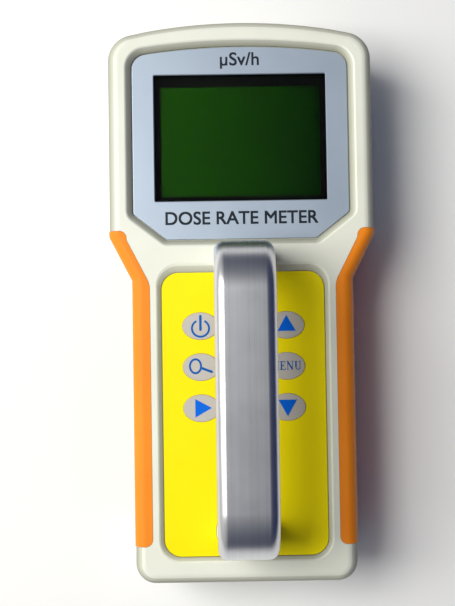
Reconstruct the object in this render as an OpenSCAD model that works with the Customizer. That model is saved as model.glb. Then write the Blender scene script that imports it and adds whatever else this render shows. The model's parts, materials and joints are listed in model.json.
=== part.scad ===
// Hand-held radiation survey meter: two-part casing, side grips, bail handle,
// display, membrane keypad, tube, boards and battery bay. Millimetres.
// X is across, +Y points to the head, +Z points out of the display.
// The origin is on the rear face, at the middle of the footprint.

/* [Body] */
// Length from the tail to the top of the crown
body_len = 224; // [200:1:270]
// Width of the head
head_w = 106; // [102:1:130]
// Width of the part that the hand can hold
grip_w = 88; // [86:1:106]
// Thickness from the rear face to the front rim
body_h = 44; // [42:1:56]
// From the top of the crown down to the start of the shoulder
head_len = 86; // [84:1:104]
// Length of the sloping shoulder
shoulder_len = 17.6; // [12:0.2:22]
// Radius of the crown at the top of the head
crown_r = 225; // [180:5:300]
// Corner radius at the top of the head
head_corner_r = 11; // [8:0.5:14]
// Corner radius at the tail
tail_corner_r = 8; // [6:0.5:10]
// Radius where the grip meets the shoulder
neck_r = 2; // [1:0.5:5]
// Radius where the shoulder meets the head
shoulder_r = 3; // [1:0.5:4]
// Radius along the front and rear edges
edge_r = 4.5; // [3:0.5:6]
// Thickness of the casing's walls
wall = 2.5; // [2:0.1:3]
// Thickness of the front under its rim
roof_t = 6; // [5.6:0.1:7]
// Height of the split between the two shells
split_z = 22; // [20:0.5:26]
// Height of the gap that shows between the two shells
seam = 0.3; // [0.2:0.1:0.6]

/* [Side grips] */
// Thickness of the rubber
strip_t = 2; // [1.5:0.1:2.4]
// How far each grip wraps over the front and the rear
strip_w = 7; // [5:0.5:8]
// How far the rubber stands out from the sides
strip_proud = 0.3; // [0.1:0.1:0.6]
// From the tail to the lower end of each grip
strip_tail = 15; // [13:0.5:20]
// How far each grip runs past the shoulder onto the head
strip_over = 2; // [0:0.5:4]
// Corner radius at the ends of each grip
strip_end_r = 3; // [2:0.5:4]

/* [Display] */
// Width of the bezel plate
plate_w = 86.6; // [80:0.2:92]
// Length of the bezel plate
plate_len = 77.5; // [74:0.5:84]
// Thickness of the bezel plate
plate_t = 1; // [0.6:0.1:1.6]
// Depth of the plate's top below the rim
plate_depth = 2.4; // [1.5:0.1:3]
// Cut corners of the plate, across
plate_cut_x = 13.4; // [8:0.2:16]
// Cut corners of the plate, along
plate_cut_y = 10.4; // [6:0.2:14]
// Rim from the crown to the plate
rim_head = 10.1; // [8:0.1:13]
// Width of the sloping lip round the plate
display_lip = 3.2; // [2:0.1:4]
// Window in the plate, across
window_w = 69.2; // [57:0.2:72]
// Window in the plate, along
window_len = 51; // [46:0.2:54]
// From the lower edge of the plate to the window
window_up = 15.4; // [14:0.1:18]
// Thickness of the clear lens
lens_t = 1.5; // [1:0.1:2]
// How far the lens reaches under the plate
lens_lap = 2.9; // [2:0.1:4]
// Viewing area of the display, across
view_w = 64.4; // [56:0.2:66]
// Viewing area of the display, along
view_len = 44.6; // [40:0.2:47]
// How far the viewing area sits below the middle of the window
view_drop = 1; // [0:0.1:2]
// Height of the display module
module_h = 6; // [5:0.1:7]

/* [Keypad] */
// Width of the keypad
pad_w = 64.8; // [60:0.2:70]
// Corner radius of the keypad
pad_r = 6.8; // [4:0.2:9]
// Rim from the tail to the keypad
rim_tail = 10.7; // [9:0.1:14]
// Bridge between the bezel plate and the keypad
bridge_len = 13.3; // [12.6:0.1:18]
// Depth of the keypad's top below the rim
pad_depth = 1.4; // [1:0.1:1.8]
// Width of the sloping lip at the sides and the tail of the keypad
pad_lip = 1.8; // [1:0.1:2]
// Width of the sloping lip at the head of the keypad
pad_lip_head = 3.4; // [1.8:0.1:3.6]
// Width of a key
key_w = 14.4; // [12:0.2:16]
// Height of a key
key_len = 10.8; // [9:0.2:12]
// Distance between the two columns of keys
key_pitch_x = 34.2; // [30:0.2:40]
// Distance between the rows of keys
key_pitch_y = 16.3; // [14:0.1:18]
// From the head end of the keypad to the first row
key_first = 21.4; // [18:0.2:24]
// How far a key goes down
key_travel = 0.3; // [0.2:0.05:0.3]

/* [Handle] */
// Width of the handle bar
bar_w = 22.4; // [20:0.2:26]
// Thickness of the handle bar
bar_t = 10; // [8:0.5:11]
// Radius along the edges of the handle bar
bar_r = 3.8; // [2:0.2:4]
// Height of the handle above the rim
handle_h = 46; // [42:1:55]
// Inner radius of the handle's bends
bend_r = 10; // [8:0.5:14]
// From the lower end of the keypad to the handle's leg
foot_inset = 4.8; // [4:0.2:8]
// Thickness of the pads under the feet
foot_pad_t = 0.8; // [0.5:0.1:1.2]
// Radius of the handle screws
handle_screw_r = 2.5; // [2:0.5:2.5]

/* [Batteries] */
// Number of cells side by side
cell_count = 4; // [4:1:4]
// Radius of a cell
cell_r = 7.1; // [7:0.05:7.2]
// Length of a cell with its button
cell_len = 50.5; // [49:0.1:51]
// Distance between cells
cell_pitch = 15; // [14.6:0.1:15.4]
// Length of a contact spring under its cell
spring_len = 8; // [6:0.5:10]
// From the tail to the battery bay
bay_tail = 14; // [13.5:0.5:16]
// Thickness of the battery door
door_t = 2.2; // [2:0.1:2.4]

/* [Inside] */
// Thickness of the circuit boards
board_t = 1.6; // [1:0.2:2]
// Width of the main board
main_board_w = 54; // [50:1:54]
// Radius of the tube
tube_r = 8; // [6:0.5:9]
// Length of the tube
tube_len = 80; // [60:1:80]
// From the top of the crown to the tube
tube_from_crown = 28; // [27:0.5:34]
// Radius of the buzzer
buzzer_r = 12; // [8:0.5:13]
// Radius of a case screw
case_screw_r = 1.5; // [1.25:0.25:1.5]

/* [Hidden] */

fine = 48;            // steps of a full circle on small round parts
smooth = 96;          // steps of a full circle on large round parts
gap = 0.1;            // between pieces that are pressed or glued together
slide_gap = 0.2;      // between pieces that slide or drop in
eps = 0.5;            // how far a cut runs past a face
least_r = 0.2;        // smallest corner radius of an inset outline

// Places along the body
base_y = -body_len / 2;
crown_y = body_len / 2;
shoulder_y = crown_y - head_len;
neck_y = shoulder_y - shoulder_len;
plate_top = crown_y - rim_head;
plate_bottom = plate_top - plate_len;
pad_top = plate_bottom - bridge_len;
pad_bottom = base_y + rim_tail;
window_y = plate_bottom + window_up + window_len / 2;
view_y = window_y - view_drop;

// Heights
roof_z = body_h - roof_t;
plate_z = body_h - plate_depth - plate_t;
lens_z = plate_z - lens_t;
circuit_t = 0.3;
spacer_t = 0.7;
overlay_t = 0.3;
overlay_z = body_h - pad_depth - overlay_t;
spacer_z = overlay_z - spacer_t;
circuit_z = spacer_z - circuit_t;
module_z = roof_z - module_h;
lcd_board_z = module_z - board_t;
main_board_z = body_h - 19;
detector_board_z = 6.5;

// Handle
foot_margin = 0.3;
leg_head_y = plate_bottom - display_lip - foot_margin - bar_t / 2;
leg_tail_y = pad_bottom + foot_inset + bar_t / 2;
handle_mid_y = (leg_head_y + leg_tail_y) / 2;
handle_span = leg_head_y - leg_tail_y;
foot_z = body_h + foot_pad_t;
island_edge = 0.6;
handle_washer_t = 1;
handle_screw_up = 10;
washer_r = handle_screw_r * 2;

// Battery bay
bay_w = cell_count * cell_pitch + 0.4;
contact_t = 0.5;
bay_len = cell_len + spring_len + 2 * contact_t;
bay_y0 = base_y + bay_tail;
bay_y1 = bay_y0 + bay_len;
bay_wall = 1.6;
door_recess = door_t + slide_gap;
cell_z = door_recess + 0.5 + cell_r;
bay_top = cell_z + cell_r + 0.6;
tongue = 1.2;
tongue_t = 1;
door_w = bay_w + 2.6;
door_y1 = bay_y1 + 4;
rail_w = 2;
rail_z = door_recess + 2;

// Screws: [x, y] of each
boss_in = 8;
case_screw_at = [for (side = [-1, 1]) each [
    [side * (head_w / 2 - boss_in), crown_y - 13],
    [side * (main_board_w / 2 + 5), bay_y1 + 16.5],
    [side * (grip_w / 2 - 7), base_y + 8.5]]];
case_head_r = case_screw_r * 1.87;
case_head_h = 2.2;
case_ledge_z = 8;
case_shank = 20;
small_screw_r = 1.25;
small_head_r = 2.3;
small_head_h = 1.6;
small_shank = 5;
post_r = 2.8;
frame_w = window_w + 4;
frame_len = window_len + 6;
lcd_screw_x = frame_w / 2 + post_r + slide_gap;
lcd_board_w = 2 * (lcd_screw_x + post_r);
lcd_board_len = frame_len + 1;
lcd_screw_at = [for (sx = [-1, 1], sy = [-1, 1])
    [sx * lcd_screw_x, window_y + sy * (lcd_board_len / 2 - 3.2)]];
main_board_y0 = base_y + 16;
main_board_y1 = leg_head_y;
main_screw_at = [for (sx = [-1, 1], y = [main_board_y0 + 4, main_board_y1 - 4])
    [sx * (main_board_w / 2 - 3.5), y]];
tube_y = crown_y - tube_from_crown;
detector_w = tube_len + 8;
detector_y1 = tube_y + tube_r + 1;
detector_y0 = detector_y1 - 53;
detector_screw_at = [for (sx = [-1, 1], y = [detector_y0 + 5, tube_y - tube_r - 6])
    [sx * (detector_w / 2 - 4), y]];
tube_z = detector_board_z + board_t + 1.5 + tube_r;
buzzer_y = bay_y1 + 31;
buzzer_h = 8;

// Colours
ivory = [0.90, 0.90, 0.84];
orange = [0.93, 0.42, 0.05];
yellow = [0.96, 0.88, 0.05];
key_grey = [0.70, 0.70, 0.68];
silver = [0.72, 0.76, 0.82];
metal = [0.75, 0.76, 0.78];
board_green = [0.10, 0.38, 0.20];
brass = [0.80, 0.65, 0.35];
dark = [0.10, 0.10, 0.11];

// ---- Outlines: a list of [x, y, corner radius, corner steps], tail to head, right half ----

function unit(v) = v / norm(v);
function left_of(v) = [-v.y, v.x];
function xy(v) = [v.x, v.y];
function turned(v, a) = [v.x * cos(a) - v.y * sin(a), v.x * sin(a) + v.y * cos(a)];

// The whole outline, counter-clockwise; a last vertex on the axis isn't repeated
function both_halves(half) = concat(half, [for (i = [len(half) - 1 : -1 : 0])
    if (half[i].x > 0) [-half[i].x, half[i].y, half[i][2], half[i][3]]]);

function inset_corner(a, b, c, d) =
    let (n1 = left_of(unit(xy(b) - xy(a))), n2 = left_of(unit(xy(c) - xy(b))))
    xy(b) + d * (n1 + n2) / (1 + n1 * n2);

function rounded_corner(a, b, c, r, steps) = steps == 0 ? [b] :
    let (u = unit(b - a), v = unit(c - b), side = sign(cross(u, v)), angle = acos(u * v),
        start = b - u * r * tan(angle / 2), centre = start + side * r * left_of(u))
    [for (k = [0 : steps]) centre + turned(start - centre, side * angle * k / steps)];

// Points of an outline moved inwards by d, with its corners rounded
function outline(vertices, d = 0) =
    let (n = len(vertices), p = [for (i = [0 : n - 1])
        inset_corner(vertices[(i + n - 1) % n], vertices[i], vertices[(i + 1) % n], d)])
    [for (i = [0 : n - 1]) let (a = p[(i + n - 1) % n], b = p[i], c = p[(i + 1) % n],
        convex = cross(b - a, c - b) >= 0, r = vertices[i][2] + (convex ? -d : d))
        each rounded_corner(a, b, c, max(r, least_r), vertices[i][3])];

// Height of the crown's arc above its ends, at x
function crown_at(x, top, r) = top - r + sqrt(r * r - x * x);

body_shape = both_halves([
    [grip_w / 2, base_y, tail_corner_r, 6],
    [grip_w / 2, neck_y, neck_r, 4],
    [head_w / 2, shoulder_y, shoulder_r, 3],
    [head_w / 2, crown_at(head_w / 2, crown_y, crown_r), head_corner_r, 6],
    for (share = [0.7, 0.45, 0.22, 0])
        [share * head_w / 2, crown_at(share * head_w / 2, crown_y, crown_r), 0, 0]]);

plate_corner_r = 6;
plate_crown_r = 280;
plate_shape = both_halves([
    [plate_w / 2 - plate_cut_x, plate_bottom, 2.5, 3],
    [plate_w / 2, plate_bottom + plate_cut_y, 2.5, 3],
    [plate_w / 2, crown_at(plate_w / 2, plate_top, plate_crown_r), plate_corner_r, 5],
    for (share = [0.75, 0.5, 0.25, 0])
        [share * plate_w / 2, crown_at(share * plate_w / 2, plate_top, plate_crown_r), 0, 0]]);

function box_shape(w, y0, y1, r) = both_halves([[w / 2, y0, r, 6], [w / 2, y1, r, 6]]);
pad_shape = box_shape(pad_w, pad_bottom, pad_top, pad_r);
pad_lip_shape = box_shape(pad_w + 2 * pad_lip, pad_bottom - pad_lip, pad_top + pad_lip_head,
    pad_r + pad_lip);

// A solid through rings that all have as many points, each [z, points], lowest first
module loft(rings) {
    n = len(rings[0][1]);
    top = (len(rings) - 1) * n;
    half = floor(n / 2);
    polyhedron(
        points = [for (ring = rings, p = ring[1]) [p.x, p.y, ring[0]]],
        faces = concat(
            [for (i = [0 : half - 2]) [i, i + 1, n - 2 - i, n - 1 - i]],
            [for (i = [0 : half - 2]) [top + n - 1 - i, top + n - 2 - i, top + i + 1, top + i]],
            n % 2 == 0 ? [] : [[half - 1, half, half + 1], [top + half + 1, top + half, top + half - 1]],
            [for (k = [0 : len(rings) - 2], i = [0 : n - 1]) let (j = (i + 1) % n)
                [k * n + i, (k + 1) * n + i, (k + 1) * n + j, k * n + j]]));
}

// Rings of a rounded edge of radius r, that ends at height z; up is 1 on top and -1 below
edge_steps = 4;
function edge_rings(shape, z, r, d, up) =
    let (order = up > 0 ? [0 : edge_steps] : [edge_steps : -1 : 0])
    [for (k = order) let (a = 90 * k / edge_steps)
        [z - up * r * (1 - sin(a)), outline(shape, d + r * (1 - cos(a)))]];

module front_block() {
    loft(concat([[split_z, outline(body_shape)]], edge_rings(body_shape, body_h, edge_r, 0, 1)));
}

module rear_block() {
    loft(concat(edge_rings(body_shape, 0, edge_r, 0, -1), [[split_z - seam, outline(body_shape)]]));
}

// The body's shape moved in by d all round; below 0 it grows at the sides only
module body_core(d) {
    side = max(d, 0);
    r = edge_r - side;
    loft(concat(edge_rings(body_shape, side, r, d, -1),
        edge_rings(body_shape, body_h - side, r, d, 1)));
}

module slab(shape, d, z0, z1) {
    translate([0, 0, z0]) linear_extrude(z1 - z0) polygon(outline(shape, d));
}

module block(w, y0, y1, z0, z1) {
    translate([-w / 2, y0, z0]) cube([w, y1 - y0, z1 - z0]);
}

module rod(x, y, z0, z1, r) {
    translate([x, y, z0]) cylinder(h = z1 - z0, r = r, $fn = fine);
}

// ---- Side grips ----

strip_y0 = base_y + strip_tail;
strip_y1 = shoulder_y + strip_over;

// Where one grip lies, seen from the front, on the right side
module strip_area(extra = 0) {
    offset(r = strip_end_r + extra, $fn = fine) offset(delta = -strip_end_r)
        difference() {
            translate([0, strip_y0]) square([head_w, strip_y1 - strip_y0]);
            polygon(outline(body_shape, strip_w));
        }
}

module strip_prism(extra = 0) {
    translate([0, 0, -eps]) linear_extrude(body_h + 2 * eps) strip_area(extra);
}

module grip_pocket() {
    difference() {
        strip_prism(gap);
        body_core(strip_t);
    }
}

module grip() {
    color(orange) difference() {
        intersection() {
            body_core(-strip_proud);
            strip_prism();
        }
        body_core(strip_t);
    }
}

// ---- Casing ----

// The hollow inside the casing, with thicker sides where the grips are
module cavity_area(side_inset) {
    difference() {
        polygon(outline(body_shape, wall));
        difference() {
            translate([-head_w, strip_y0 - wall]) square([2 * head_w, strip_y1 - strip_y0 + 2 * wall]);
            polygon(outline(body_shape, side_inset));
        }
    }
}

module cavity(z0, z1, side_inset) {
    translate([0, 0, z0]) linear_extrude(z1 - z0) cavity_area(side_inset);
}

seal_w = 1.2;
seal_t = 1.2;
module seal_area(w) {
    difference() {
        offset(delta = (wall + w) / 2) cavity_area(strip_t + wall);
        offset(delta = (wall - w) / 2) cavity_area(strip_t + wall);
    }
}

module handle_islands() {
    for (y = [leg_head_y, leg_tail_y])
        translate([0, y, roof_z]) linear_extrude(body_h - roof_z)
            rounded_area(bar_w + 2 * island_edge, bar_t + 2 * island_edge, bar_r + island_edge);
}

module rounded_area(w, h, r) {
    square([w - 2 * r, h], center = true);
    square([w, h - 2 * r], center = true);
    for (x = [-1, 1], y = [-1, 1])
        translate([x * (w / 2 - r), y * (h / 2 - r)]) circle(r = r, $fn = fine);
}

module display_recess() {
    flare_z = plate_z + plate_t + 0.2;
    loft([[plate_z, outline(plate_shape, -slide_gap)], [flare_z, outline(plate_shape, -slide_gap)],
        [body_h, outline(plate_shape, -display_lip)], [body_h + eps, outline(plate_shape, -display_lip)]]);
}

module pad_recess() {
    loft([[circuit_z, outline(pad_shape, -slide_gap)],
        [overlay_z + overlay_t, outline(pad_shape, -slide_gap)],
        [body_h, outline(pad_lip_shape)], [body_h + eps, outline(pad_lip_shape)]]);
}

lens_w = window_w + 2 * lens_lap;
lens_len = window_len + 2 * lens_lap;
ledge = 1.9;
tail_slot_w = 16;
tail_slot_len = 2;
tail_slot_y = leg_head_y - bar_t / 2 - island_edge - 8;

module front_shell() {
    color(ivory) difference() {
        union() {
            difference() {
                front_block();
                for (side = [0, 1]) mirror([side, 0, 0]) grip_pocket();
                cavity(split_z - eps, roof_z, strip_t + wall);
                display_recess();
                pad_recess();
            }
            handle_islands();
            for (at = case_screw_at) rod(at.x, at.y, split_z, roof_z + gap, case_head_r + 0.9);
            for (at = lcd_screw_at) rod(at.x, at.y, lcd_board_z + board_t, roof_z + gap, post_r);
            for (at = main_screw_at) rod(at.x, at.y, main_board_z + board_t, roof_z + gap, post_r);
        }
        block(lens_w + 2 * gap, window_y - lens_len / 2 - gap, window_y + lens_len / 2 + gap,
            lens_z, plate_z + eps);
        block(lens_w - 2 * ledge, window_y - lens_len / 2 + ledge, window_y + lens_len / 2 - ledge,
            roof_z - eps, lens_z + eps);
        block(tail_slot_w, tail_slot_y, tail_slot_y + tail_slot_len, roof_z - eps, circuit_z + eps);
        for (y = [leg_head_y, leg_tail_y])
            rod(0, y, roof_z - eps, body_h + eps, handle_screw_r + slide_gap);
        for (at = case_screw_at)
            rod(at.x, at.y, split_z - eps, case_ledge_z + case_shank + 1, case_screw_r + gap);
        for (at = lcd_screw_at)
            rod(at.x, at.y, lcd_board_z, lcd_board_z + small_shank + 1, small_screw_r + gap);
        for (at = main_screw_at)
            rod(at.x, at.y, main_board_z, main_board_z + small_shank + 1, small_screw_r + gap);
    }
}

buzzer_slots = 7;
buzzer_slot_w = 1.4;
module rear_shell() {
    color(ivory) difference() {
        union() {
            difference() {
                rear_block();
                for (side = [0, 1]) mirror([side, 0, 0]) grip_pocket();
                cavity(rail_z, split_z, strip_t + wall);
                cavity(wall, rail_z + eps, strip_w + wall);
            }
            block(bay_w + 2 * bay_wall, bay_y0 - bay_wall, bay_y1 + bay_wall,
                rail_z - gap, bay_top + bay_wall);
            block(door_w + 2 * tongue + 2 * rail_w, base_y + wall, door_y1 + tongue + rail_w,
                wall - gap, rail_z);
            for (at = case_screw_at) rod(at.x, at.y, wall - gap, split_z - seam, case_head_r + 1.8);
            for (at = detector_screw_at) rod(at.x, at.y, wall - gap, detector_board_z, post_r);
            translate([0, buzzer_y, wall - gap]) difference() {
                cylinder(h = 2.5, r = buzzer_r + 1.6, $fn = smooth);
                cylinder(h = 6, r = buzzer_r + gap, $fn = smooth, center = true);
            }
        }
        block(bay_w, bay_y0, bay_y1, -eps, bay_top);
        block(door_w + 2 * slide_gap, base_y - eps, door_y1 + slide_gap, -eps, door_recess);
        block(door_w + 2 * tongue + 2 * slide_gap, base_y - eps, door_y1 + slide_gap,
            door_t - tongue_t - slide_gap, door_recess);
        for (at = case_screw_at) {
            rod(at.x, at.y, -eps, case_ledge_z, case_head_r + slide_gap);
            rod(at.x, at.y, -eps, split_z, case_screw_r + slide_gap);
        }
        for (at = detector_screw_at)
            rod(at.x, at.y, wall + 0.5, detector_board_z + eps, small_screw_r + gap);
        for (k = [1 : buzzer_slots]) let (x = (k - (buzzer_slots + 1) / 2) * 2 * buzzer_slot_w)
            block_at(x, buzzer_slot_w, buzzer_y - 0.8 * sqrt(buzzer_r ^ 2 - x ^ 2),
                buzzer_y + 0.8 * sqrt(buzzer_r ^ 2 - x ^ 2), -eps, wall + eps);
        for (x = terminal_x)
            block_at(x, terminal_w + 2 * gap, bay_y1 - eps, bay_y1 + bay_wall + eps,
                terminal_z - gap, terminal_z + contact_t + gap);
        translate([0, 0, split_z - seam - seal_t]) linear_extrude(seal_t + eps) seal_area(seal_w + 2 * gap);
    }
}

module block_at(x, w, y0, y1, z0, z1) {
    translate([x, 0, 0]) block(w, y0, y1, z0, z1);
}

module case_seal() {
    color(dark) translate([0, 0, split_z - seam - seal_t + gap])
        linear_extrude(seal_t + seam - gap) seal_area(seal_w);
}

// A round-headed screw that points up: the head's flat face is at z
module screw(at, z, r, length, head_r, head_h) {
    difference() {
        union() {
            rod(at.x, at.y, z - head_h, z, head_r);
            rod(at.x, at.y, z - gap, z + length, r);
        }
        for (turn = [0, 90])
            translate([at.x, at.y, z - head_h]) rotate(turn)
                cube([head_r * 1.3, head_r * 0.3, head_h], center = true);
    }
}

module case_screws() {
    color(metal) for (at = case_screw_at)
        screw(at, case_ledge_z, case_screw_r, case_shank, case_head_r, case_head_h);
}

// ---- Handle ----

module bar_area() {
    rounded_area(bar_w, bar_t, bar_r);
}

tap_depth = 12;
module handle() {
    bend_mid = bend_r + bar_t / 2;
    top_z = body_h + handle_h;
    bar_z = top_z - bar_t / 2;
    color(metal) difference() {
        union() {
            for (side = [-1, 1]) translate([0, handle_mid_y + side * handle_span / 2, 0]) {
                translate([0, 0, foot_z]) linear_extrude(bar_z - bend_mid - foot_z) bar_area();
                translate([0, -side * bend_mid, bar_z - bend_mid]) rotate([90, 0, 90])
                    rotate_extrude(angle = side * 90, start = side > 0 ? 0 : 180, $fn = smooth)
                        translate([bend_mid, 0]) rotate(90) bar_area();
            }
            translate([0, handle_mid_y + handle_span / 2 - bend_mid, bar_z]) rotate([90, 0, 0])
                linear_extrude(handle_span - 2 * bend_mid) bar_area();
        }
        for (y = [leg_head_y, leg_tail_y])
            rod(0, y, foot_z - eps, foot_z + tap_depth, handle_screw_r + gap / 2);
    }
}

module handle_pads() {
    color(dark) for (y = [leg_head_y, leg_tail_y])
        translate([0, y, body_h]) linear_extrude(foot_pad_t) difference() {
            bar_area();
            circle(r = handle_screw_r + slide_gap, $fn = fine);
        }
}

module handle_screws() {
    head_r = handle_screw_r * 1.7;
    head_h = handle_screw_r * 1.4;
    z = roof_z - handle_washer_t;
    color(metal) for (y = [leg_head_y, leg_tail_y])
        difference() {
            union() {
                rod(0, y, z - head_h, z, head_r);
                rod(0, y, z - gap, foot_z + handle_screw_up, handle_screw_r);
            }
            translate([0, y, z - head_h - gap]) cylinder(h = head_h * 0.6, r = handle_screw_r * 0.9, $fn = 6);
        }
}

module handle_washers() {
    color(metal) for (y = [leg_head_y, leg_tail_y])
        difference() {
            rod(0, y, roof_z - handle_washer_t, roof_z, washer_r);
            rod(0, y, roof_z - 2 * handle_washer_t, roof_z + eps, handle_screw_r + gap);
        }
}

// ---- Display ----

module display_bezel() {
    color(silver) difference() {
        slab(plate_shape, 0, plate_z, plate_z + plate_t);
        block(window_w, window_y - window_len / 2, window_y + window_len / 2,
            plate_z - eps, plate_z + plate_t + eps);
    }
}

module display_lens() {
    color([0.8, 0.85, 0.8, 0.4])
        block(lens_w, window_y - lens_len / 2, window_y + lens_len / 2, lens_z, plate_z);
}

frame_t = 0.6;
glass_t = 2.6;
module lcd_frame() {
    color(dark) difference() {
        block(frame_w, window_y - frame_len / 2, window_y + frame_len / 2, module_z, roof_z);
        block(frame_w - 2 * frame_t, window_y - frame_len / 2 + frame_t, window_y + frame_len / 2 - frame_t,
            module_z - eps, roof_z - frame_t);
        block(view_w, view_y - view_len / 2, view_y + view_len / 2, module_z, roof_z + eps);
    }
}

module lcd_layer(z0, z1) {
    side = frame_t + gap;
    block(frame_w - 2 * side, window_y - frame_len / 2 + side, window_y + frame_len / 2 - side, z0, z1);
}

module lcd_glass() {
    color([0.10, 0.22, 0.05]) lcd_layer(roof_z - frame_t - gap - glass_t, roof_z - frame_t - gap);
}

module lcd_backlight() {
    color([0.85, 0.90, 0.80]) lcd_layer(module_z, roof_z - frame_t - gap - glass_t);
}

module lcd_board() {
    color(board_green) difference() {
        block(lcd_board_w, window_y - lcd_board_len / 2, window_y + lcd_board_len / 2,
            lcd_board_z, module_z);
        for (at = lcd_screw_at) rod(at.x, at.y, lcd_board_z - eps, module_z + eps, small_screw_r + gap);
    }
}

module small_screws(places, z) {
    color(metal) for (at = places)
        screw(at, z, small_screw_r, small_shank, small_head_r, small_head_h);
}

// ---- Keypad: columns left and right, rows from the head down ----

key_at = [for (sx = [-1, 1], row = [0 : 2])
    [sx * key_pitch_x / 2, pad_top - key_first - row * key_pitch_y]];
key_gap = 0.12;
nub_r = 2;
dome_r = 4.2;
dome_h = key_travel + 0.05;
key_proud = 0.25;

module oval(grow) {
    scale([1, (key_len + 2 * grow) / (key_w + 2 * grow)]) circle(d = key_w + 2 * grow, $fn = smooth);
}

module film(z, t, hole_grow) {
    translate([0, 0, z]) linear_extrude(t) difference() {
        polygon(outline(pad_shape, 0));
        for (y = [leg_head_y, leg_tail_y]) translate([0, y])
            rounded_area(bar_w + 2 * (island_edge + slide_gap), bar_t + 2 * (island_edge + slide_gap),
                bar_r + island_edge + slide_gap);
        if (hole_grow > 0) for (at = key_at) translate(at) oval(hole_grow);
    }
}

module keypad_overlay() {
    color(yellow) film(overlay_z, overlay_t, key_gap);
}

module keypad_spacer() {
    color([0.85, 0.85, 0.82]) film(spacer_z, spacer_t, 2 * key_gap);
}

// A flat tail, bent down through the slot, reaches the socket on the main board
tail_w = tail_slot_w - 2;
tail_y = tail_slot_y + tail_slot_len / 2;
socket_h = 4;
socket_len = 6;
plug_in = 2.5;
module keypad_circuit() {
    color([0.75, 0.70, 0.40]) {
        difference() {
            film(circuit_z, circuit_t, 0);
            block(tail_slot_w, tail_y + circuit_t / 2, tail_slot_y + tail_slot_len,
                circuit_z - eps, circuit_z + circuit_t + eps);
        }
        block(tail_w, tail_y - circuit_t / 2, tail_y + circuit_t / 2,
            main_board_z + board_t + socket_h - plug_in, circuit_z + circuit_t);
    }
}

module keypad_socket() {
    z = main_board_z + board_t;
    color(dark) difference() {
        block(tail_w + 4, tail_y - socket_len / 2, tail_y + socket_len / 2, z, z + socket_h);
        block(tail_w + 2 * gap, tail_y - circuit_t, tail_y + circuit_t, z + socket_h - plug_in - gap,
            z + socket_h + eps);
    }
}

module key(i) {
    color(key_grey) translate([key_at[i].x, key_at[i].y, 0]) {
        translate([0, 0, overlay_z]) linear_extrude(overlay_t + key_proud) oval(0);
        rod(0, 0, spacer_z + dome_h + 0.05, overlay_z + gap, nub_r);
    }
}

// A shallow cap of sheet metal, dome_h high, turned from a short curved profile
dome_sheet = 0.08;
dome_steps = 5;
function dome_at(share) = [dome_r * share, (dome_h - dome_sheet) * (1 - share ^ 2)];
module dome(i) {
    color(metal) translate([key_at[i].x, key_at[i].y, spacer_z]) rotate_extrude($fn = smooth)
        polygon(concat([for (k = [0 : dome_steps]) dome_at(k / dome_steps)],
            [for (k = [dome_steps : -1 : 0]) dome_at(k / dome_steps) + [0, dome_sheet]]));
}

// ---- Boards ----

module board(w, y0, y1, z, places) {
    color(board_green) difference() {
        block(w, y0, y1, z, z + board_t);
        for (at = places) rod(at.x, at.y, z - eps, z + board_t + eps, small_screw_r + gap);
    }
}

module main_board() {
    board(main_board_w, main_board_y0, main_board_y1, main_board_z, main_screw_at);
}

chip_w = 14;
chip_y = tail_slot_y - 14;
module processor_chip() {
    top = main_board_z + board_t;
    color(dark) block(chip_w, chip_y - chip_w / 2, chip_y + chip_w / 2, top + 0.2, top + 1.8);
    color(metal) for (side = [0 : 3], k = [-5 : 5])
        translate([0, chip_y, top]) rotate(side * 90) translate([chip_w / 2, k * 1.1 - 0.2, 0]) {
            cube([1.6, 0.4, 0.3]);
            cube([0.3, 0.4, 0.8]);
        }
}

// A flat cable from under the display board to the main board, as a bent strip
ribbon_t = 0.6;
ribbon_w = 20;
module display_ribbon() {
    y0 = main_board_y1 - 7;
    y1 = window_y - lcd_board_len / 2 + 4;
    z0 = main_board_z + board_t;
    color(key_grey) translate([-ribbon_w / 2, 0, 0]) rotate([90, 0, 90]) linear_extrude(ribbon_w) {
        translate([y0, z0]) square([ribbon_t, 2]);
        translate([y0, z0 + 2 - ribbon_t]) square([y1 - y0, ribbon_t]);
        translate([y1 - ribbon_t, z0 + 2 - ribbon_t]) square([ribbon_t, lcd_board_z - z0 - 2 + ribbon_t]);
    }
}

module detector_board() {
    board(detector_w, detector_y0, detector_y1, detector_board_z, detector_screw_at);
}

// The tube lies across the head, with a glass bead and a pin at one end
module geiger_tube() {
    color(metal) translate([0, tube_y, tube_z]) rotate([0, 90, 0]) {
        cylinder(h = tube_len - 6, r = tube_r, $fn = smooth, center = true);
        for (side = [-1, 1]) translate([0, 0, side * (tube_len / 2 - 3)])
            cylinder(h = 4, r = tube_r * 0.6, $fn = smooth, center = true);
        translate([0, 0, tube_len / 2 - 1.5]) cylinder(h = 3, r = 0.8, $fn = fine, center = true);
    }
}

filter_t = 1;
filter_len = 34;
module tube_filter() {
    color(brass) translate([0, tube_y, tube_z]) rotate([0, 90, 0]) difference() {
        cylinder(h = filter_len, r = tube_r + filter_t, $fn = smooth, center = true);
        cylinder(h = filter_len + 2, r = tube_r + gap, $fn = smooth, center = true);
    }
}

clip_w = 7;
clip_t = 0.8;
clip_x = filter_len / 2 + 8;
module tube_clips() {
    foot_z = detector_board_z + board_t;
    color(brass) for (side = [-1, 1]) translate([side * clip_x, tube_y, 0]) {
        translate([0, 0, tube_z]) rotate([0, 90, 0]) difference() {
            cylinder(h = clip_w, r = tube_r + gap + clip_t, $fn = smooth, center = true);
            cylinder(h = clip_w + 2, r = tube_r + gap, $fn = smooth, center = true);
            translate([-2 * tube_r - tube_r * 0.6, -tube_r * 2, -clip_w])
                cube([2 * tube_r, 4 * tube_r, 2 * clip_w]);
        }
        block(clip_w, -2, 2, foot_z, tube_z - tube_r - gap);
    }
}

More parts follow.
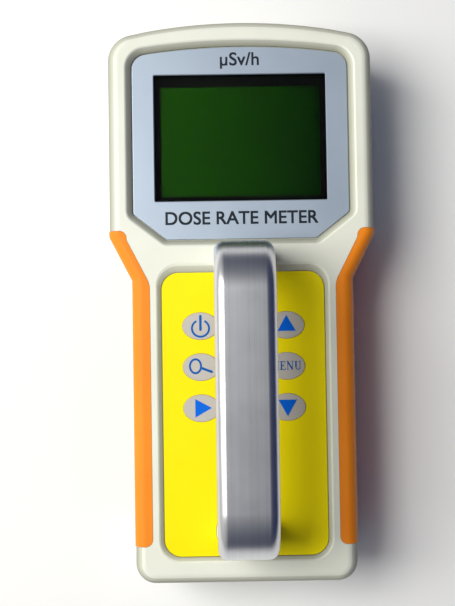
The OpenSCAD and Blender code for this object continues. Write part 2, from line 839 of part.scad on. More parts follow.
can_w = 34;
can_len = 22;
can_h = 12;
can_x = -20;
can_y = detector_y0 + 5 + can_len / 2;
module high_voltage_can() {
    z = detector_board_z + board_t;
    color(metal) translate([can_x, can_y, z]) linear_extrude(can_h) rounded_area(can_w, can_len, 1.5);
}

// ---- Leads: a round tube along a Bezier curve ----

lead_r = 0.7;
lead_sides = 8;
lead_rings = 14;
function bezier(p, t) = (1 - t) ^ 3 * p[0] + 3 * (1 - t) ^ 2 * t * p[1]
    + 3 * (1 - t) * t ^ 2 * p[2] + t ^ 3 * p[3];
function bezier_way(p, t) = unit((1 - t) ^ 2 * (p[1] - p[0])
    + 2 * (1 - t) * t * (p[2] - p[1]) + t ^ 2 * (p[3] - p[2]));
function lead_ring(p, t, beside) =
    let (way = bezier_way(p, t), across = unit(cross(way, beside)), over = cross(way, across))
    [for (k = [0 : lead_sides - 1]) let (a = 360 * k / lead_sides)
        bezier(p, t) + lead_r * (cos(a) * across + sin(a) * over)];

// The direction beside is one that the curve never takes
module lead(p, beside) {
    n = lead_sides;
    last = n * lead_rings;
    polyhedron(
        points = [for (k = [0 : lead_rings]) each lead_ring(p, k / lead_rings, beside)],
        faces = concat(
            [[for (i = [n - 1 : -1 : 0]) i]],
            [[for (i = [0 : n - 1]) last + i]],
            [for (k = [0 : lead_rings - 1], i = [0 : n - 1]) let (j = (i + 1) % n)
                each [[k * n + i, k * n + j, (k + 1) * n + j],
                    [k * n + i, (k + 1) * n + j, (k + 1) * n + i]]]));
}

plug_w = 8;
plug_y = bay_y1 + 10;
plug_h = 5;
module battery_plug() {
    color([0.9, 0.9, 0.88]) block(plug_w, plug_y - 3, plug_y + 3, main_board_z - plug_h, main_board_z);
}

terminal_x = [-1.5 * cell_pitch, 1.5 * cell_pitch];
terminal_w = 4;
terminal_out = 4;
terminal_z = cell_z + 2;
module battery_lead(side) {
    start = [side * terminal_x[1], bay_y1 + bay_wall + terminal_out + gap, terminal_z + contact_t / 2];
    end = [side * 2, plug_y, main_board_z - plug_h - gap];
    lead([start, start + [0, 8, 0], end - [0, 0, 9], end], [side, 1, 0]);
}

// From the tube's pin down to the high-voltage can
module tube_lead() {
    start = [tube_len / 2 + gap, tube_y, tube_z];
    end = [can_x + can_w / 2 + gap, can_y, detector_board_z + board_t + 4];
    color([0.75, 0.10, 0.08]) lead([start, start + [7, 0, 0], end + [50, 0, 0], end], [0, 0, 1]);
}

module buzzer() {
    color(dark) translate([0, buzzer_y, wall + 0.2]) difference() {
        cylinder(h = buzzer_h, r = buzzer_r, $fn = smooth);
        translate([0, 0, buzzer_h - 1]) cylinder(h = 2, r = 2, $fn = fine);
    }
}

// ---- Batteries ----

cell_x = [for (i = [0 : cell_count - 1]) (i - (cell_count - 1) / 2) * cell_pitch];
function to_head(i) = i % 2 == 0;

module battery(i) {
    button = 1;
    button_r = 2.7;
    body_l = cell_len - button;
    y = to_head(i) ? bay_y1 - contact_t - cell_len : bay_y0 + contact_t + button;
    nub_y = to_head(i) ? y + body_l : y - button;
    color([0.15, 0.25, 0.45]) translate([cell_x[i], 0, cell_z]) {
        translate([0, y, 0]) rotate([-90, 0, 0]) cylinder(h = body_l, r = cell_r, $fn = smooth);
        translate([0, nub_y, 0]) rotate([-90, 0, 0]) cylinder(h = button, r = button_r, $fn = fine);
    }
}

// Plates at both ends of the bay, which link the cells in series
contact_h = 10;
module contact_plate(x0, x1, y) {
    translate([x0, y, cell_z - contact_h / 2]) cube([x1 - x0, contact_t, contact_h]);
}

module battery_contacts() {
    half = 5;
    color(metal) {
        for (i = [0, 2]) contact_plate(cell_x[i] - half, cell_x[i + 1] + half, bay_y0);
        contact_plate(cell_x[1] - half, cell_x[2] + half, bay_y1 - contact_t);
        for (x = terminal_x) {
            contact_plate(x - half, x + half, bay_y1 - contact_t);
            block_at(x, terminal_w, bay_y1 - gap, bay_y1 + bay_wall + terminal_out,
                terminal_z, terminal_z + contact_t);
        }
    }
}

// A conical spring as a round wire along a helix
coil_turns = 3;
coil_steps = 12;
coil_wire = 0.4;
coil_wide = 4.5;
coil_narrow = 3;
coil_sides = 6;
function coil_point(t) = let (a = 360 * coil_turns * t, r = coil_wide + (coil_narrow - coil_wide) * t)
    [r * cos(a), r * sin(a), coil_wire + (spring_len - 2 * coil_wire) * t];
function coil_ring(t) = let (a = 360 * coil_turns * t)
    [for (k = [0 : coil_sides - 1]) let (b = 360 * k / coil_sides)
        coil_point(t) + coil_wire * [cos(b) * cos(a), cos(b) * sin(a), sin(b)]];

module coil() {
    n = coil_sides;
    rings = coil_turns * coil_steps;
    polyhedron(
        points = [for (k = [0 : rings]) each coil_ring(k / rings)],
        faces = concat(
            [[for (i = [0 : n - 1]) i]],
            [[for (i = [n - 1 : -1 : 0]) rings * n + i]],
            [for (k = [0 : rings - 1], i = [0 : n - 1]) let (j = (i + 1) % n)
                each [[k * n + i, (k + 1) * n + i, (k + 1) * n + j],
                    [k * n + i, (k + 1) * n + j, k * n + j]]]));
}

module battery_springs() {
    color(metal) for (i = [0 : cell_count - 1])
        if (to_head(i)) translate([cell_x[i], bay_y0 + contact_t, cell_z]) rotate([-90, 0, 0]) coil();
        else translate([cell_x[i], bay_y1 - contact_t, cell_z]) rotate([90, 0, 0]) coil();
}

// The door slides off over the tail; its edges follow the body
door_ribs = 6;
rib_pitch = 3;
rib_first = 9;
rib_long = 22;
rib_groove = 1.2;
rib_deep = 0.5;
module battery_door() {
    color(ivory) difference() {
        intersection() {
            rear_block();
            union() {
                block(door_w, base_y - eps, door_y1, -eps, door_t);
                block(door_w + 2 * tongue, base_y - eps, door_y1, door_t - tongue_t, door_t);
            }
        }
        for (k = [0 : door_ribs - 1]) let (y = base_y + rib_first + k * rib_pitch)
            block(rib_long, y, y + rib_groove, -eps, rib_deep);
    }
}

// ---- Nodes ----

front_shell();
rear_shell();
case_seal();
grip();  // grip_right
mirror([1, 0, 0]) grip();  // grip_left
case_screws();
handle();
handle_pads();
handle_screws();
handle_washers();
display_bezel();
display_lens();
lcd_frame();
lcd_glass();
lcd_backlight();
lcd_board();
small_screws(lcd_screw_at, lcd_board_z);  // lcd_screws
keypad_overlay();
keypad_spacer();
keypad_circuit();
key(0);  // key_power
key(1);  // key_search
key(2);  // key_right
key(3);  // key_up
key(4);  // key_menu
key(5);  // key_down
dome(0);  // dome_power
dome(1);  // dome_search
dome(2);  // dome_right
dome(3);  // dome_up
dome(4);  // dome_menu
dome(5);  // dome_down
main_board();
small_screws(main_screw_at, main_board_z);  // main_board_screws
processor_chip();
keypad_socket();
display_ribbon();
battery_plug();
color([0.75, 0.10, 0.08]) battery_lead(-1);  // battery_lead_red
color(dark) battery_lead(1);  // battery_lead_black
detector_board();
mirror([0, 0, 1]) translate([0, 0, -2 * (detector_board_z + board_t)])  // detector_board_screws
        small_screws(detector_screw_at, detector_board_z + board_t);
geiger_tube();
tube_filter();
tube_clips();
tube_lead();
high_voltage_can();
buzzer();
battery_contacts();
battery_springs();
battery(0);  // battery_1
battery(1);  // battery_2
battery(2);  // battery_3
battery(3);  // battery_4
battery_door();
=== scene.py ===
import json
import math
from functools import partial
import bpy
import bmesh
from mathutils import Matrix, Vector


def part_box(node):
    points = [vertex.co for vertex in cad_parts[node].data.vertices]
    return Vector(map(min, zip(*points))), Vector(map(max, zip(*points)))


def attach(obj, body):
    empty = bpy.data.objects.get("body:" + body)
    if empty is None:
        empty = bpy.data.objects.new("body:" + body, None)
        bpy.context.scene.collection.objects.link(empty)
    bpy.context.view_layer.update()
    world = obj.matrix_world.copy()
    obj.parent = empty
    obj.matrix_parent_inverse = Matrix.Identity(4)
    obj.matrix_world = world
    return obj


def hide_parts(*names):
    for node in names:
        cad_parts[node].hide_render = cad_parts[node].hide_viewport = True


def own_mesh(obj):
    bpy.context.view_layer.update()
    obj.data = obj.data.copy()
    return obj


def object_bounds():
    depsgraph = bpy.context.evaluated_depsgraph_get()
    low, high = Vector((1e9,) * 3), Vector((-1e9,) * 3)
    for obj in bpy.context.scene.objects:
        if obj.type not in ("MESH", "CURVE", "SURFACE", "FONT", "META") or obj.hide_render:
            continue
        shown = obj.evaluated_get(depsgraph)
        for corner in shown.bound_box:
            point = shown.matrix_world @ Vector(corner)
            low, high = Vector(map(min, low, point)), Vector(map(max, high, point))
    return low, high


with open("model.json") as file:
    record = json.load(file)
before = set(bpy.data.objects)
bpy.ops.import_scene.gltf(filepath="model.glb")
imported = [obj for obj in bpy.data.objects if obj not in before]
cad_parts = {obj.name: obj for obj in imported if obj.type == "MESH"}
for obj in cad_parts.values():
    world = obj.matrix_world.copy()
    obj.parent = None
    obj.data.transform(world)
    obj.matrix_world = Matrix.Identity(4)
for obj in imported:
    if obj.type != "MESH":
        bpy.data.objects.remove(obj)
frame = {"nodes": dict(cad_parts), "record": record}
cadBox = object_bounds()
record = frame["record"]
mm = 0.001  # the shapes below are drawn in millimetres, and end in metres


def addObject(name, data):
    made = bpy.data.objects.new(name, data)
    bpy.context.scene.collection.objects.link(made)
    return made


# shader groups and the helpers that build them

def addSocket(group, label, way, kind, value=None):
    socket = group.interface.new_socket(name=label, in_out=way, socket_type="NodeSocket" + kind)
    if value is not None:
        socket.default_value = value


def newGroup(name, inputs, outputs):  # an input without a value is a vector
    group = bpy.data.node_groups.new(name, "ShaderNodeTree")
    for label, value in inputs.items():
        addSocket(group, label, "INPUT", "Vector" if value is None else "Float", value)
    for label in outputs:
        addSocket(group, label, "OUTPUT", "Float")
    return group, group.nodes.new("NodeGroupInput").outputs


def endGroup(group, **results):
    end = group.nodes.new("NodeGroupOutput")
    for label, socket in results.items():
        group.links.new(socket, end.inputs[label])
    return group


def setInputs(node, **values):  # each input's name, with _ for a space
    for label, value in values.items():
        node.inputs[label.replace("_", " ")].default_value = value
    return node


def useGroup(tree, group, **values):
    node = tree.nodes.new("ShaderNodeGroup")
    node.node_tree = group
    return setInputs(node, **values)


def newMaterial(name, **fixed):
    material = bpy.data.materials.new(name)
    material.use_nodes = True
    tree = material.node_tree
    return material, tree, setInputs(tree.nodes["Principled BSDF"], **fixed)


def srgb(r, g, b):
    def straight(v):
        v = v / 255
        return v / 12.92 if v <= 0.04045 else ((v + 0.055) / 1.055) ** 2.4
    return (straight(r), straight(g), straight(b), 1.0)


def feed(tree, sockets, values):  # a value is another node's socket or a constant
    for socket, value in zip(sockets, values):
        if hasattr(value, "node"):
            tree.links.new(value, socket)
        else:
            socket.default_value = value


def mathNode(tree, operation, *values):
    node = tree.nodes.new("ShaderNodeMath")
    node.operation = operation
    feed(tree, node.inputs, values)
    return node.outputs[0]


def noiseNode(tree, vector, scale, detail, roughness=0.55):
    node = setInputs(tree.nodes.new("ShaderNodeTexNoise"), Detail=detail, Roughness=roughness)
    feed(tree, (node.inputs["Vector"], node.inputs["Scale"]), (vector, scale))
    return node.outputs["Fac"]


def mixTone(tree, factor, first, second):
    node = tree.nodes.new("ShaderNodeMix")
    node.data_type = "RGBA"
    feed(tree, [socket for socket in node.inputs if socket.type == "RGBA"], (first, second))
    tree.links.new(factor, node.inputs[0])
    return [socket for socket in node.outputs if socket.type == "RGBA"][0]


def textureAt(tree, output="Object"):
    return tree.nodes.new("ShaderNodeTexCoord").outputs[output]


def apartNode(tree, vector):
    node = tree.nodes.new("ShaderNodeSeparateXYZ")
    tree.links.new(vector, node.inputs[0])
    return node.outputs


def sizedNoise(tree, size, *shape):  # noise whose features have a size in millimetres
    return noiseNode(tree, textureAt(tree), mathNode(tree, "DIVIDE", 1 / mm, size), *shape)


def blendedRough(group, start, patches, fine, share):  # slow patches and a fine pattern, blended
    calc = partial(mathNode, group)
    blend = calc("ADD", calc("MULTIPLY", patches, share), calc("MULTIPLY", fine, 1 - share))
    span = calc("SUBTRACT", start["Rough High"], start["Rough Low"])
    return blend, calc("MULTIPLY_ADD", blend, span, start["Rough Low"])


grainShape = {"fineDetail": 2.0, "patchDetail": 4.0, "patchShare": 0.6}


def buildGrain():  # fine moulded grain with slow drifts of tone
    group, start = newGroup("grain", {"Grain Size": 0.25, "Patch Size": 30.0, "Rough Low": 0.4,
                                      "Rough High": 0.55}, ("Tone", "Roughness", "Height"))
    fine = sizedNoise(group, start["Grain Size"], grainShape["fineDetail"])
    patches = sizedNoise(group, start["Patch Size"], grainShape["patchDetail"])
    rough = blendedRough(group, start, patches, fine, grainShape["patchShare"])[1]
    return endGroup(group, Tone=patches, Roughness=rough, Height=fine)


streakShape = {"detail": 5.0, "breakUp": 0.7, "patchDetail": 4.0, "patchShare": 0.5}


def buildStreaks():  # drawn or brushed metal: long thin lines along one way of the given vector
    group, start = newGroup("streaks", {"Vector": None, "Rough Low": 0.25, "Rough High": 0.4,
                                        "Patch Size": 25.0}, ("Tone", "Roughness", "Height"))
    lines = noiseNode(group, start["Vector"], 1.0, streakShape["detail"], streakShape["breakUp"])
    patches = sizedNoise(group, start["Patch Size"], streakShape["patchDetail"])
    blend, rough = blendedRough(group, start, patches, lines, streakShape["patchShare"])
    return endGroup(group, Tone=blend, Roughness=rough, Height=lines)


soilShape = {"speckDetail": 6.0, "speckBreakUp": 0.75, "specksFrom": 0.64, "speckGain": 9.0,
             "speckSoften": 0.1, "smudgeScale": 22.0, "smudgeDetail": 5.0, "smudgesFrom": 0.52,
             "smudgeGain": 2.5}


def buildSoil():  # faint handling marks: sparse specks and soft smudges, as a mask
    group, start = newGroup("soil", {"Speck Size": 1.2, "Amount": 0.3}, ("Mask",))
    calc, shape = partial(mathNode, group), soilShape
    def over(pattern, least, gain):
        return calc("MAXIMUM", calc("MULTIPLY", calc("SUBTRACT", pattern, least), gain), 0.0)
    specks = sizedNoise(group, start["Speck Size"], shape["speckDetail"], shape["speckBreakUp"])
    smudges = noiseNode(group, textureAt(group), shape["smudgeScale"], shape["smudgeDetail"])
    sharp = calc("SMOOTH_MIN", over(specks, shape["specksFrom"], shape["speckGain"]), 1.0,
                 shape["speckSoften"])
    soft = over(smudges, shape["smudgesFrom"], shape["smudgeGain"])
    both = calc("MULTIPLY", calc("ADD", sharp, soft), start["Amount"])
    return endGroup(group, Mask=calc("MINIMUM", both, 1.0))


# painted shade on the sloping recess walls: the shape of its mask
recessShadeShape = {"under": 1.5, "level": 0.97, "gain": 0.6, "least": 0.35, "most": 0.85}


def buildRecessShade():  # painted shade: a mask that darkens recess walls, fading out between two heights, on faces that are not level
    group, start = newGroup("paintedRecessShade", {"Bottom": 0.0, "Top": 1.0}, ("Mask",))
    calc, shape = partial(mathNode, group), recessShadeShape
    height = calc("DIVIDE", apartNode(group, textureAt(group))["Z"], mm)
    fade = calc("DIVIDE", calc("SUBTRACT", start["Top"], height),
                calc("SUBTRACT", start["Top"], start["Bottom"]))
    above = calc("GREATER_THAN", height, calc("SUBTRACT", start["Bottom"], shape["under"]))
    inside = calc("GREATER_THAN", fade, 0.0)
    facing = apartNode(group, textureAt(group, "Normal"))["Z"]
    both = calc("MULTIPLY", calc("MULTIPLY", above, inside),
                calc("LESS_THAN", facing, shape["level"]))
    strength = calc("MINIMUM", calc("MULTIPLY_ADD", fade, shape["gain"], shape["least"]),
                    shape["most"])
    return endGroup(group, Mask=calc("MULTIPLY", both, strength))


grainGroup, streakGroup, soilGroup, recessShadeGroup = (
    buildGrain(), buildStreaks(), buildSoil(), buildRecessShade())


# materials

def grained(tree, size, rough):
    return useGroup(tree, grainGroup, Grain_Size=size, Rough_Low=rough[0],
                    Rough_High=rough[1]).outputs


def addBump(tree, height, shader, strength, depth):
    bump = setInputs(tree.nodes.new("ShaderNodeBump"), Strength=strength, Distance=depth * mm)
    tree.links.new(height, bump.inputs["Height"])
    tree.links.new(bump.outputs["Normal"], shader.inputs["Normal"])


def soiled(tree, tone, amount, soilTone):
    if amount == 0:
        return tone
    return mixTone(tree, useGroup(tree, soilGroup, Amount=amount).outputs["Mask"], tone, soilTone)


def connect(tree, shader, tone, rough):
    tree.links.new(tone, shader.inputs["Base Color"])
    tree.links.new(rough, shader.inputs["Roughness"])


def plasticMaterial(name, dark, light, grainSize, rough, bump=0.25, depth=0.02, soil=0.0,
                    soilTone=(0.25, 0.22, 0.17, 1), low=None, **fixed):
    material, tree, shader = newMaterial(name, **fixed)
    grain = grained(tree, grainSize, rough)
    tone = mixTone(tree, grain["Tone"], srgb(*dark), srgb(*light))
    tone = soiled(tree, tone, soil, soilTone)
    if low:  # painted shade: a darker tone on the sloping walls of the recesses, between two heights
        recessShade = useGroup(tree, recessShadeGroup, Bottom=low[0], Top=low[1])
        tone = mixTone(tree, recessShade.outputs["Mask"], tone, low[2])
    connect(tree, shader, tone, grain["Roughness"])
    addBump(tree, grain["Height"], shader, bump, depth)
    return material


metalBumpDepth = 0.02
metalSoilTone = (0.20, 0.20, 0.20, 1)


def metalMaterial(name, dark, light, stretch, rough, bump=0.12, attribute=None, metallic=1.0,
                  soil=0.0):
    material, tree, shader = newMaterial(name, Metallic=metallic)
    streaks = useGroup(tree, streakGroup, Rough_Low=rough[0], Rough_High=rough[1])
    if attribute:
        source = tree.nodes.new("ShaderNodeAttribute")
        source.attribute_name = attribute
        place = source.outputs["Vector"]
    else:
        place = textureAt(tree)
    mapping = setInputs(tree.nodes.new("ShaderNodeMapping"), Scale=stretch)
    tree.links.new(place, mapping.inputs["Vector"])
    tree.links.new(mapping.outputs["Vector"], streaks.inputs["Vector"])
    tone = mixTone(tree, streaks.outputs["Tone"], srgb(*dark), srgb(*light))
    tone = soiled(tree, tone, soil, metalSoilTone)
    connect(tree, shader, tone, streaks.outputs["Roughness"])
    addBump(tree, streaks.outputs["Height"], shader, bump, metalBumpDepth)
    return material


board = {"scale": 260, "track": 0.06, "bump": 0.3, "depth": 0.03, "copper": (40, 125, 70),
         "mask": ((8, 70, 38), (14, 92, 50)), "grain": 0.5, "rough": (0.28, 0.42)}


def boardMaterial(name):  # green solder mask over copper tracks
    material, tree, shader = newMaterial(name)
    tracks = setInputs(tree.nodes.new("ShaderNodeTexVoronoi"), Scale=board["scale"])
    tracks.distance, tracks.feature = "CHEBYCHEV", "DISTANCE_TO_EDGE"
    tree.links.new(textureAt(tree), tracks.inputs["Vector"])
    line = mathNode(tree, "LESS_THAN", tracks.outputs["Distance"], board["track"])
    grain = grained(tree, board["grain"], board["rough"])
    mask = mixTone(tree, grain["Tone"], *(srgb(*tone) for tone in board["mask"]))
    connect(tree, shader, mixTone(tree, line, mask, srgb(*board["copper"])), grain["Roughness"])
    addBump(tree, line, shader, board["bump"], board["depth"])
    return material


clear = {"tone": (0.86, 0.92, 0.88, 1), "ior": 1.15, "gloss": 0.05, "haze": (0.02, 0.07),
         "hazeSize": 3.0, "bump": 0.02, "depth": 0.02}


def lensMaterial(name):  # clear hard-coated window, with the faintest haze and hairline marks
    material, tree, shader = newMaterial(
        name, Base_Color=clear["tone"], IOR=clear["ior"], Specular_IOR_Level=clear["gloss"],
        Transmission_Weight=1.0)
    grain = grained(tree, clear["hazeSize"], clear["haze"])
    tree.links.new(grain["Roughness"], shader.inputs["Roughness"])
    addBump(tree, grain["Height"], shader, clear["bump"], clear["depth"])
    return material


# the left and right tones are painted light: lighter towards the window lamp on the left, darker to
# the right
display = {"wide": 64.4, "cell": 0.4, "line": 0.86, "lineShade": 0.18, "left": (27, 76, 0),
           "right": (4, 38, 0), "lineTone": (2, 20, 2), "gloss": 0.05, "grain": 6.0,
           "rough": (0.16, 0.28)}


def displayMaterial(name):  # switched off: dark green with painted light, lighter to the left and darker to the right, with a faint cell grid
    material, tree, shader = newMaterial(name, Specular_IOR_Level=display["gloss"])
    calc, places = partial(mathNode, tree), apartNode(tree, textureAt(tree))
    half = display["wide"] / 2 * mm
    across = setInputs(tree.nodes.new("ShaderNodeMapRange"), From_Min=-half, From_Max=half)
    tree.links.new(places["X"], across.inputs["Value"])
    grain = grained(tree, display["grain"], display["rough"])
    cells = [calc("GREATER_THAN", calc("FRACT", calc("DIVIDE", places[axis], display["cell"] * mm)),
                  display["line"]) for axis in ("X", "Y")]
    grid = calc("MULTIPLY", calc("MAXIMUM", *cells), display["lineShade"])
    tone = mixTone(tree, across.outputs["Result"], srgb(*display["left"]), srgb(*display["right"]))
    tone = mixTone(tree, grid, tone, srgb(*display["lineTone"]))
    connect(tree, shader, tone, grain["Roughness"])
    return material


plastics = {  # slot: name, dark and light tone, grain size, roughness, then bump and its depth
    "seal": ("blackSeal", (18, 18, 18), (34, 34, 34), 0.4, (0.6, 0.75)),
    "dark_plastic": ("blackPlastic", (16, 17, 18), (30, 31, 33), 0.3, (0.45, 0.6)),
    "light_guide": ("lightGuide", (205, 214, 196), (222, 228, 212), 1.0, (0.2, 0.3), 0.05),
    "spacer_film": ("spacerFilm", (205, 205, 196), (222, 222, 214), 0.6, (0.4, 0.5)),
    "circuit_film": ("circuitFilm", (196, 160, 92), (214, 182, 112), 0.8, (0.25, 0.35), 0.05),
    "ribbon": ("ribbonFilm", (196, 196, 192), (216, 216, 212), 0.8, (0.35, 0.45)),
    "lead_red": ("redLead", (170, 16, 12), (196, 26, 20), 0.8, (0.35, 0.5), 0.1),
    "lead_black": ("blackLead", (18, 18, 18), (32, 32, 32), 0.8, (0.35, 0.5), 0.1),
}
finishes = {  # plastics with soil, sheen, coat or gloss of their own
    # the casing's low entry is painted shade: a darker tone on the recess walls between the two
    # heights
    "casing": dict(name="creamShell", dark=(222, 224, 208), light=(238, 240, 228), grainSize=0.35,
                   rough=(0.42, 0.56), bump=0.22, soil=0.10, low=(41.5, 43.6, srgb(142, 142, 120))),
    "grip_rubber": dict(name="orangeRubber", dark=(236, 128, 12), light=(248, 146, 22),
                        grainSize=0.3, rough=(0.5, 0.66), bump=0.35, depth=0.03, soil=0.10,
                        soilTone=srgb(160, 80, 16), Specular_IOR_Level=0.3, Sheen_Weight=0.3,
                        Sheen_Roughness=0.4, Sheen_Tint=(1.0, 0.9, 0.7, 1)),
    "keypad_film": dict(name="yellowFilm", dark=(248, 227, 0), light=(254, 235, 0), grainSize=0.18,
                        rough=(0.36, 0.48), bump=0.16, depth=0.01, soil=0.04,
                        soilTone=srgb(200, 178, 8), Specular_IOR_Level=0.15),
    "key_film": dict(name="greyFilm", dark=(184, 179, 172), light=(196, 191, 184), grainSize=0.18,
                     rough=(0.34, 0.46), bump=0.16, depth=0.01, Specular_IOR_Level=0.25),
    "cell_wrap": dict(name="cellWrap", dark=(20, 44, 92), light=(28, 56, 110), grainSize=1.2,
                      rough=(0.2, 0.32), bump=0.05, Coat_Weight=0.4),
}
metals = {  # slot: name, dark and light tone, stretch of the lines, roughness, then what differs
    "steel": ("screwSteel", (170, 172, 174), (205, 206, 208), (600, 600, 600), (0.28, 0.42)),
    "handle_metal": ("satinHandle", (184, 185, 189), (245, 246, 248), (1.3, 1.3, 0.003),
                     (0.23, 0.34), 0.03, "sweep", 0.96, 0.04),
    "bezel_plate": ("silverPlate", (158, 171, 188), (179, 192, 206), (2400, 2400, 2400),
                    (0.38, 0.5), 0.10, None, 0.5),
    "tube_metal": ("tubeSteel", (150, 152, 155), (190, 192, 194), (14, 900, 900), (0.3, 0.45)),
    "brass_sheet": ("brassSheet", (196, 160, 84), (222, 190, 112), (14, 900, 900), (0.25, 0.4)),
}
materials = {"lens": lensMaterial("clearWindow"), "lcd": displayMaterial("darkDisplay"),
             "circuit_board": boardMaterial("circuitBoard")}
materials.update({slot: plasticMaterial(*row) for slot, row in plastics.items()})
materials.update({slot: plasticMaterial(**row) for slot, row in finishes.items()})
materials.update({slot: metalMaterial(*row) for slot, row in metals.items()})
inkRows = (  # name, dark and light tone, grain size, roughness, gloss
    ("blueInk", (0, 84, 168), (6, 94, 180), 0.3, (0.4, 0.5), 0.1),
    ("brightInk", (0, 96, 216), (0, 106, 228), 0.3, (0.4, 0.5), 0.1),
    ("darkInk", (18, 26, 38), (28, 38, 50), 0.3, (0.4, 0.5), 0.2),
    ("borderInk", (3, 4, 3), (7, 8, 7), 0.4, (0.5, 0.6), 0.05),
)
inks = {name: plasticMaterial(name, *row, bump=0.1, depth=0.01, Specular_IOR_Level=gloss)
        for name, *row, gloss in inkRows}
print("materials ready")


# camera, floor and light

view = {"distance": 400, "across": -8.6, "along": -14.1, "tiltX": -0.032, "tiltY": 0.006,
        "roll": 0.0155, "lens": 59.9, "sensor": 36, "near": 0.01, "far": 20}


def placeCamera(faceZ):
    camera = addObject("camera", bpy.data.cameras.new("camera"))
    camera.data.lens, camera.data.sensor_width = view["lens"], view["sensor"]
    camera.data.clip_start, camera.data.clip_end = view["near"], view["far"]
    turn = (Matrix.Rotation(view["roll"], 3, "Z") @ Matrix.Rotation(view["tiltY"], 3, "Y")
            @ Matrix.Rotation(view["tiltX"], 3, "X")).transposed()
    spot = Vector((view["across"], view["along"], view["distance"] + faceZ)) * mm
    camera.matrix_world = Matrix.Translation(spot) @ turn.to_4x4()
    bpy.context.scene.camera = camera


window = {"at": (-0.52, 0.12, 0.80), "aim": (0, 0, 0.03), "size": (0.55, 0.6), "power": 9.3,
          "tone": (1.0, 0.99, 0.95)}  # metres and watts


def lightWindow():
    lamp = bpy.data.lights.new("window", "AREA")
    lamp.shape = "RECTANGLE"
    lamp.size, lamp.size_y = window["size"]
    lamp.energy, lamp.color = window["power"], window["tone"]
    turn = (Vector(window["aim"]) - Vector(window["at"])).to_track_quat("-Z", "Y").to_matrix()
    addObject("window", lamp).matrix_world = Matrix.Translation(window["at"]) @ turn.to_4x4()


sky = {"strength": 0.60, "endShade": 0.27, "backdrop": (0.80, 0.81, 0.83),  # past the floor's edge
       "stops": [(0.0, (1.1, 1.08, 1.03)), (0.30, (0.85, 0.84, 0.81)), (0.5, (0.48, 0.49, 0.52)),
                 (0.62, (0.025, 0.04, 0.11)), (1.0, (0.006, 0.02, 0.13))]}  # from left to right


def lightSky():
    world = bpy.data.worlds.new("studio")
    bpy.context.scene.world = world
    world.use_nodes = True
    tree = world.node_tree
    background = setInputs(tree.nodes["Background"], Strength=sky["strength"])
    places = apartNode(tree, textureAt(tree, "Generated"))
    ends = mathNode(tree, "MULTIPLY", places["Y"], places["Y"])
    leaning = mathNode(tree, "MULTIPLY_ADD", ends, sky["endShade"], places["X"])
    ramp = tree.nodes.new("ShaderNodeValToRGB")
    ramp.color_ramp.interpolation = "EASE"
    stops = ramp.color_ramp.elements
    while len(stops) < len(sky["stops"]):
        stops.new(0.5)
    for stop, (position, tone) in zip(stops, sky["stops"]):
        stop.position, stop.color = position, (*tone, 1)
    tree.links.new(mathNode(tree, "MULTIPLY_ADD", leaning, 0.5, 0.5), ramp.inputs["Fac"])
    tree.links.new(ramp.outputs["Color"], background.inputs["Color"])
    backdrop = setInputs(tree.nodes.new("ShaderNodeBackground"), Color=(*sky["backdrop"], 1))
    choose = tree.nodes.new("ShaderNodeMixShader")
    seen = tree.nodes.new("ShaderNodeLightPath").outputs["Is Camera Ray"]
    feed(tree, choose.inputs, (seen, background.outputs[0], backdrop.outputs[0]))
    tree.links.new(choose.outputs[0], tree.nodes["World Output"].inputs["Surface"])
    bpy.context.scene.view_settings.view_transform = "Standard"


paper = {"size": 24.0, "drop": 0.0004, "tone": (0.93, 0.93, 0.92, 1), "rough": 0.9}  # metres


def layFloor():
    half = paper["size"] / 2
    mesh = bpy.data.meshes.new("floor")
    corners = [(-half, -half, 0), (half, -half, 0), (half, half, 0), (-half, half, 0)]
    mesh.from_pydata(corners, [], [(0, 1, 2, 3)])
    floor = addObject("floor", mesh)
    floor.location.z = cadBox[0][2] - paper["drop"]
    mesh.materials.append(newMaterial("floorPaper", Base_Color=paper["tone"],
                                      Roughness=paper["rough"])[0])


# outlines, in millimetres

def unit(v):
    return v.normalized()


def leftOf(v):
    return Vector((-v.y, v.x))


def turned(v, angle):
    c, s = math.cos(angle), math.sin(angle)
    return Vector((v.x * c - v.y * s, v.x * s + v.y * c))


def bothHalves(half):  # half runs from the tail to the head, on the right
    return half + [(-x, y, r, steps) for x, y, r, steps in reversed(half) if x > 0]


def insetCorner(a, b, c, d):
    first, second = leftOf(unit(b - a)), leftOf(unit(c - b))
    return b + (first + second) * d / (1 + first.dot(second))


def roundedCorner(a, b, c, r, steps):
    if steps == 0:
        return [b]
    u, v = unit(b - a), unit(c - b)
    bend = u.cross(v)
    side = 1 if bend > 0 else -1
    angle = math.acos(max(-1, min(1, u.dot(v))))
    start = b - u * r * math.tan(angle / 2)
    centre = start + leftOf(u) * r * side
    return [centre + turned(start - centre, side * angle * k / steps) for k in range(steps + 1)]


leastRadius = 0.2


def outline(shape, inset=0.0):  # shape is a list of x, y, corner radius and steps in the corner
    count = len(shape)
    places = [Vector(v[:2]) for v in shape]
    moved = [insetCorner(places[i - 1], places[i], places[(i + 1) % count], inset)
             for i in range(count)]
    points = []
    for i in range(count):
        a, b, c = moved[i - 1], moved[i], moved[(i + 1) % count]
        convex = (b - a).cross(c - b) >= 0
        r = max(shape[i][2] + (-inset if convex else inset), leastRadius)
        points += roundedCorner(a, b, c, r, shape[i][3])
    return points


def crownAt(x, top, r):
    return top - r + math.sqrt(r * r - x * x)


def crownPoints(half, y, r, shares):  # a slightly rounded end, from its side to its middle
    return [(share * half, crownAt(share * half, y, r), 0, 0) for share in shares]


def boxShape(w, y0, y1, r):
    return bothHalves([(w / 2, y0, r, 16), (w / 2, y1, r, 16)])


def roundRect(w, h, r, at, steps=12):
    points = outline([(x * w / 2, y * h / 2, r, steps)
                      for x, y in ((1, -1), (1, 1), (-1, 1), (-1, -1))])
    return [p + Vector(at) for p in points]


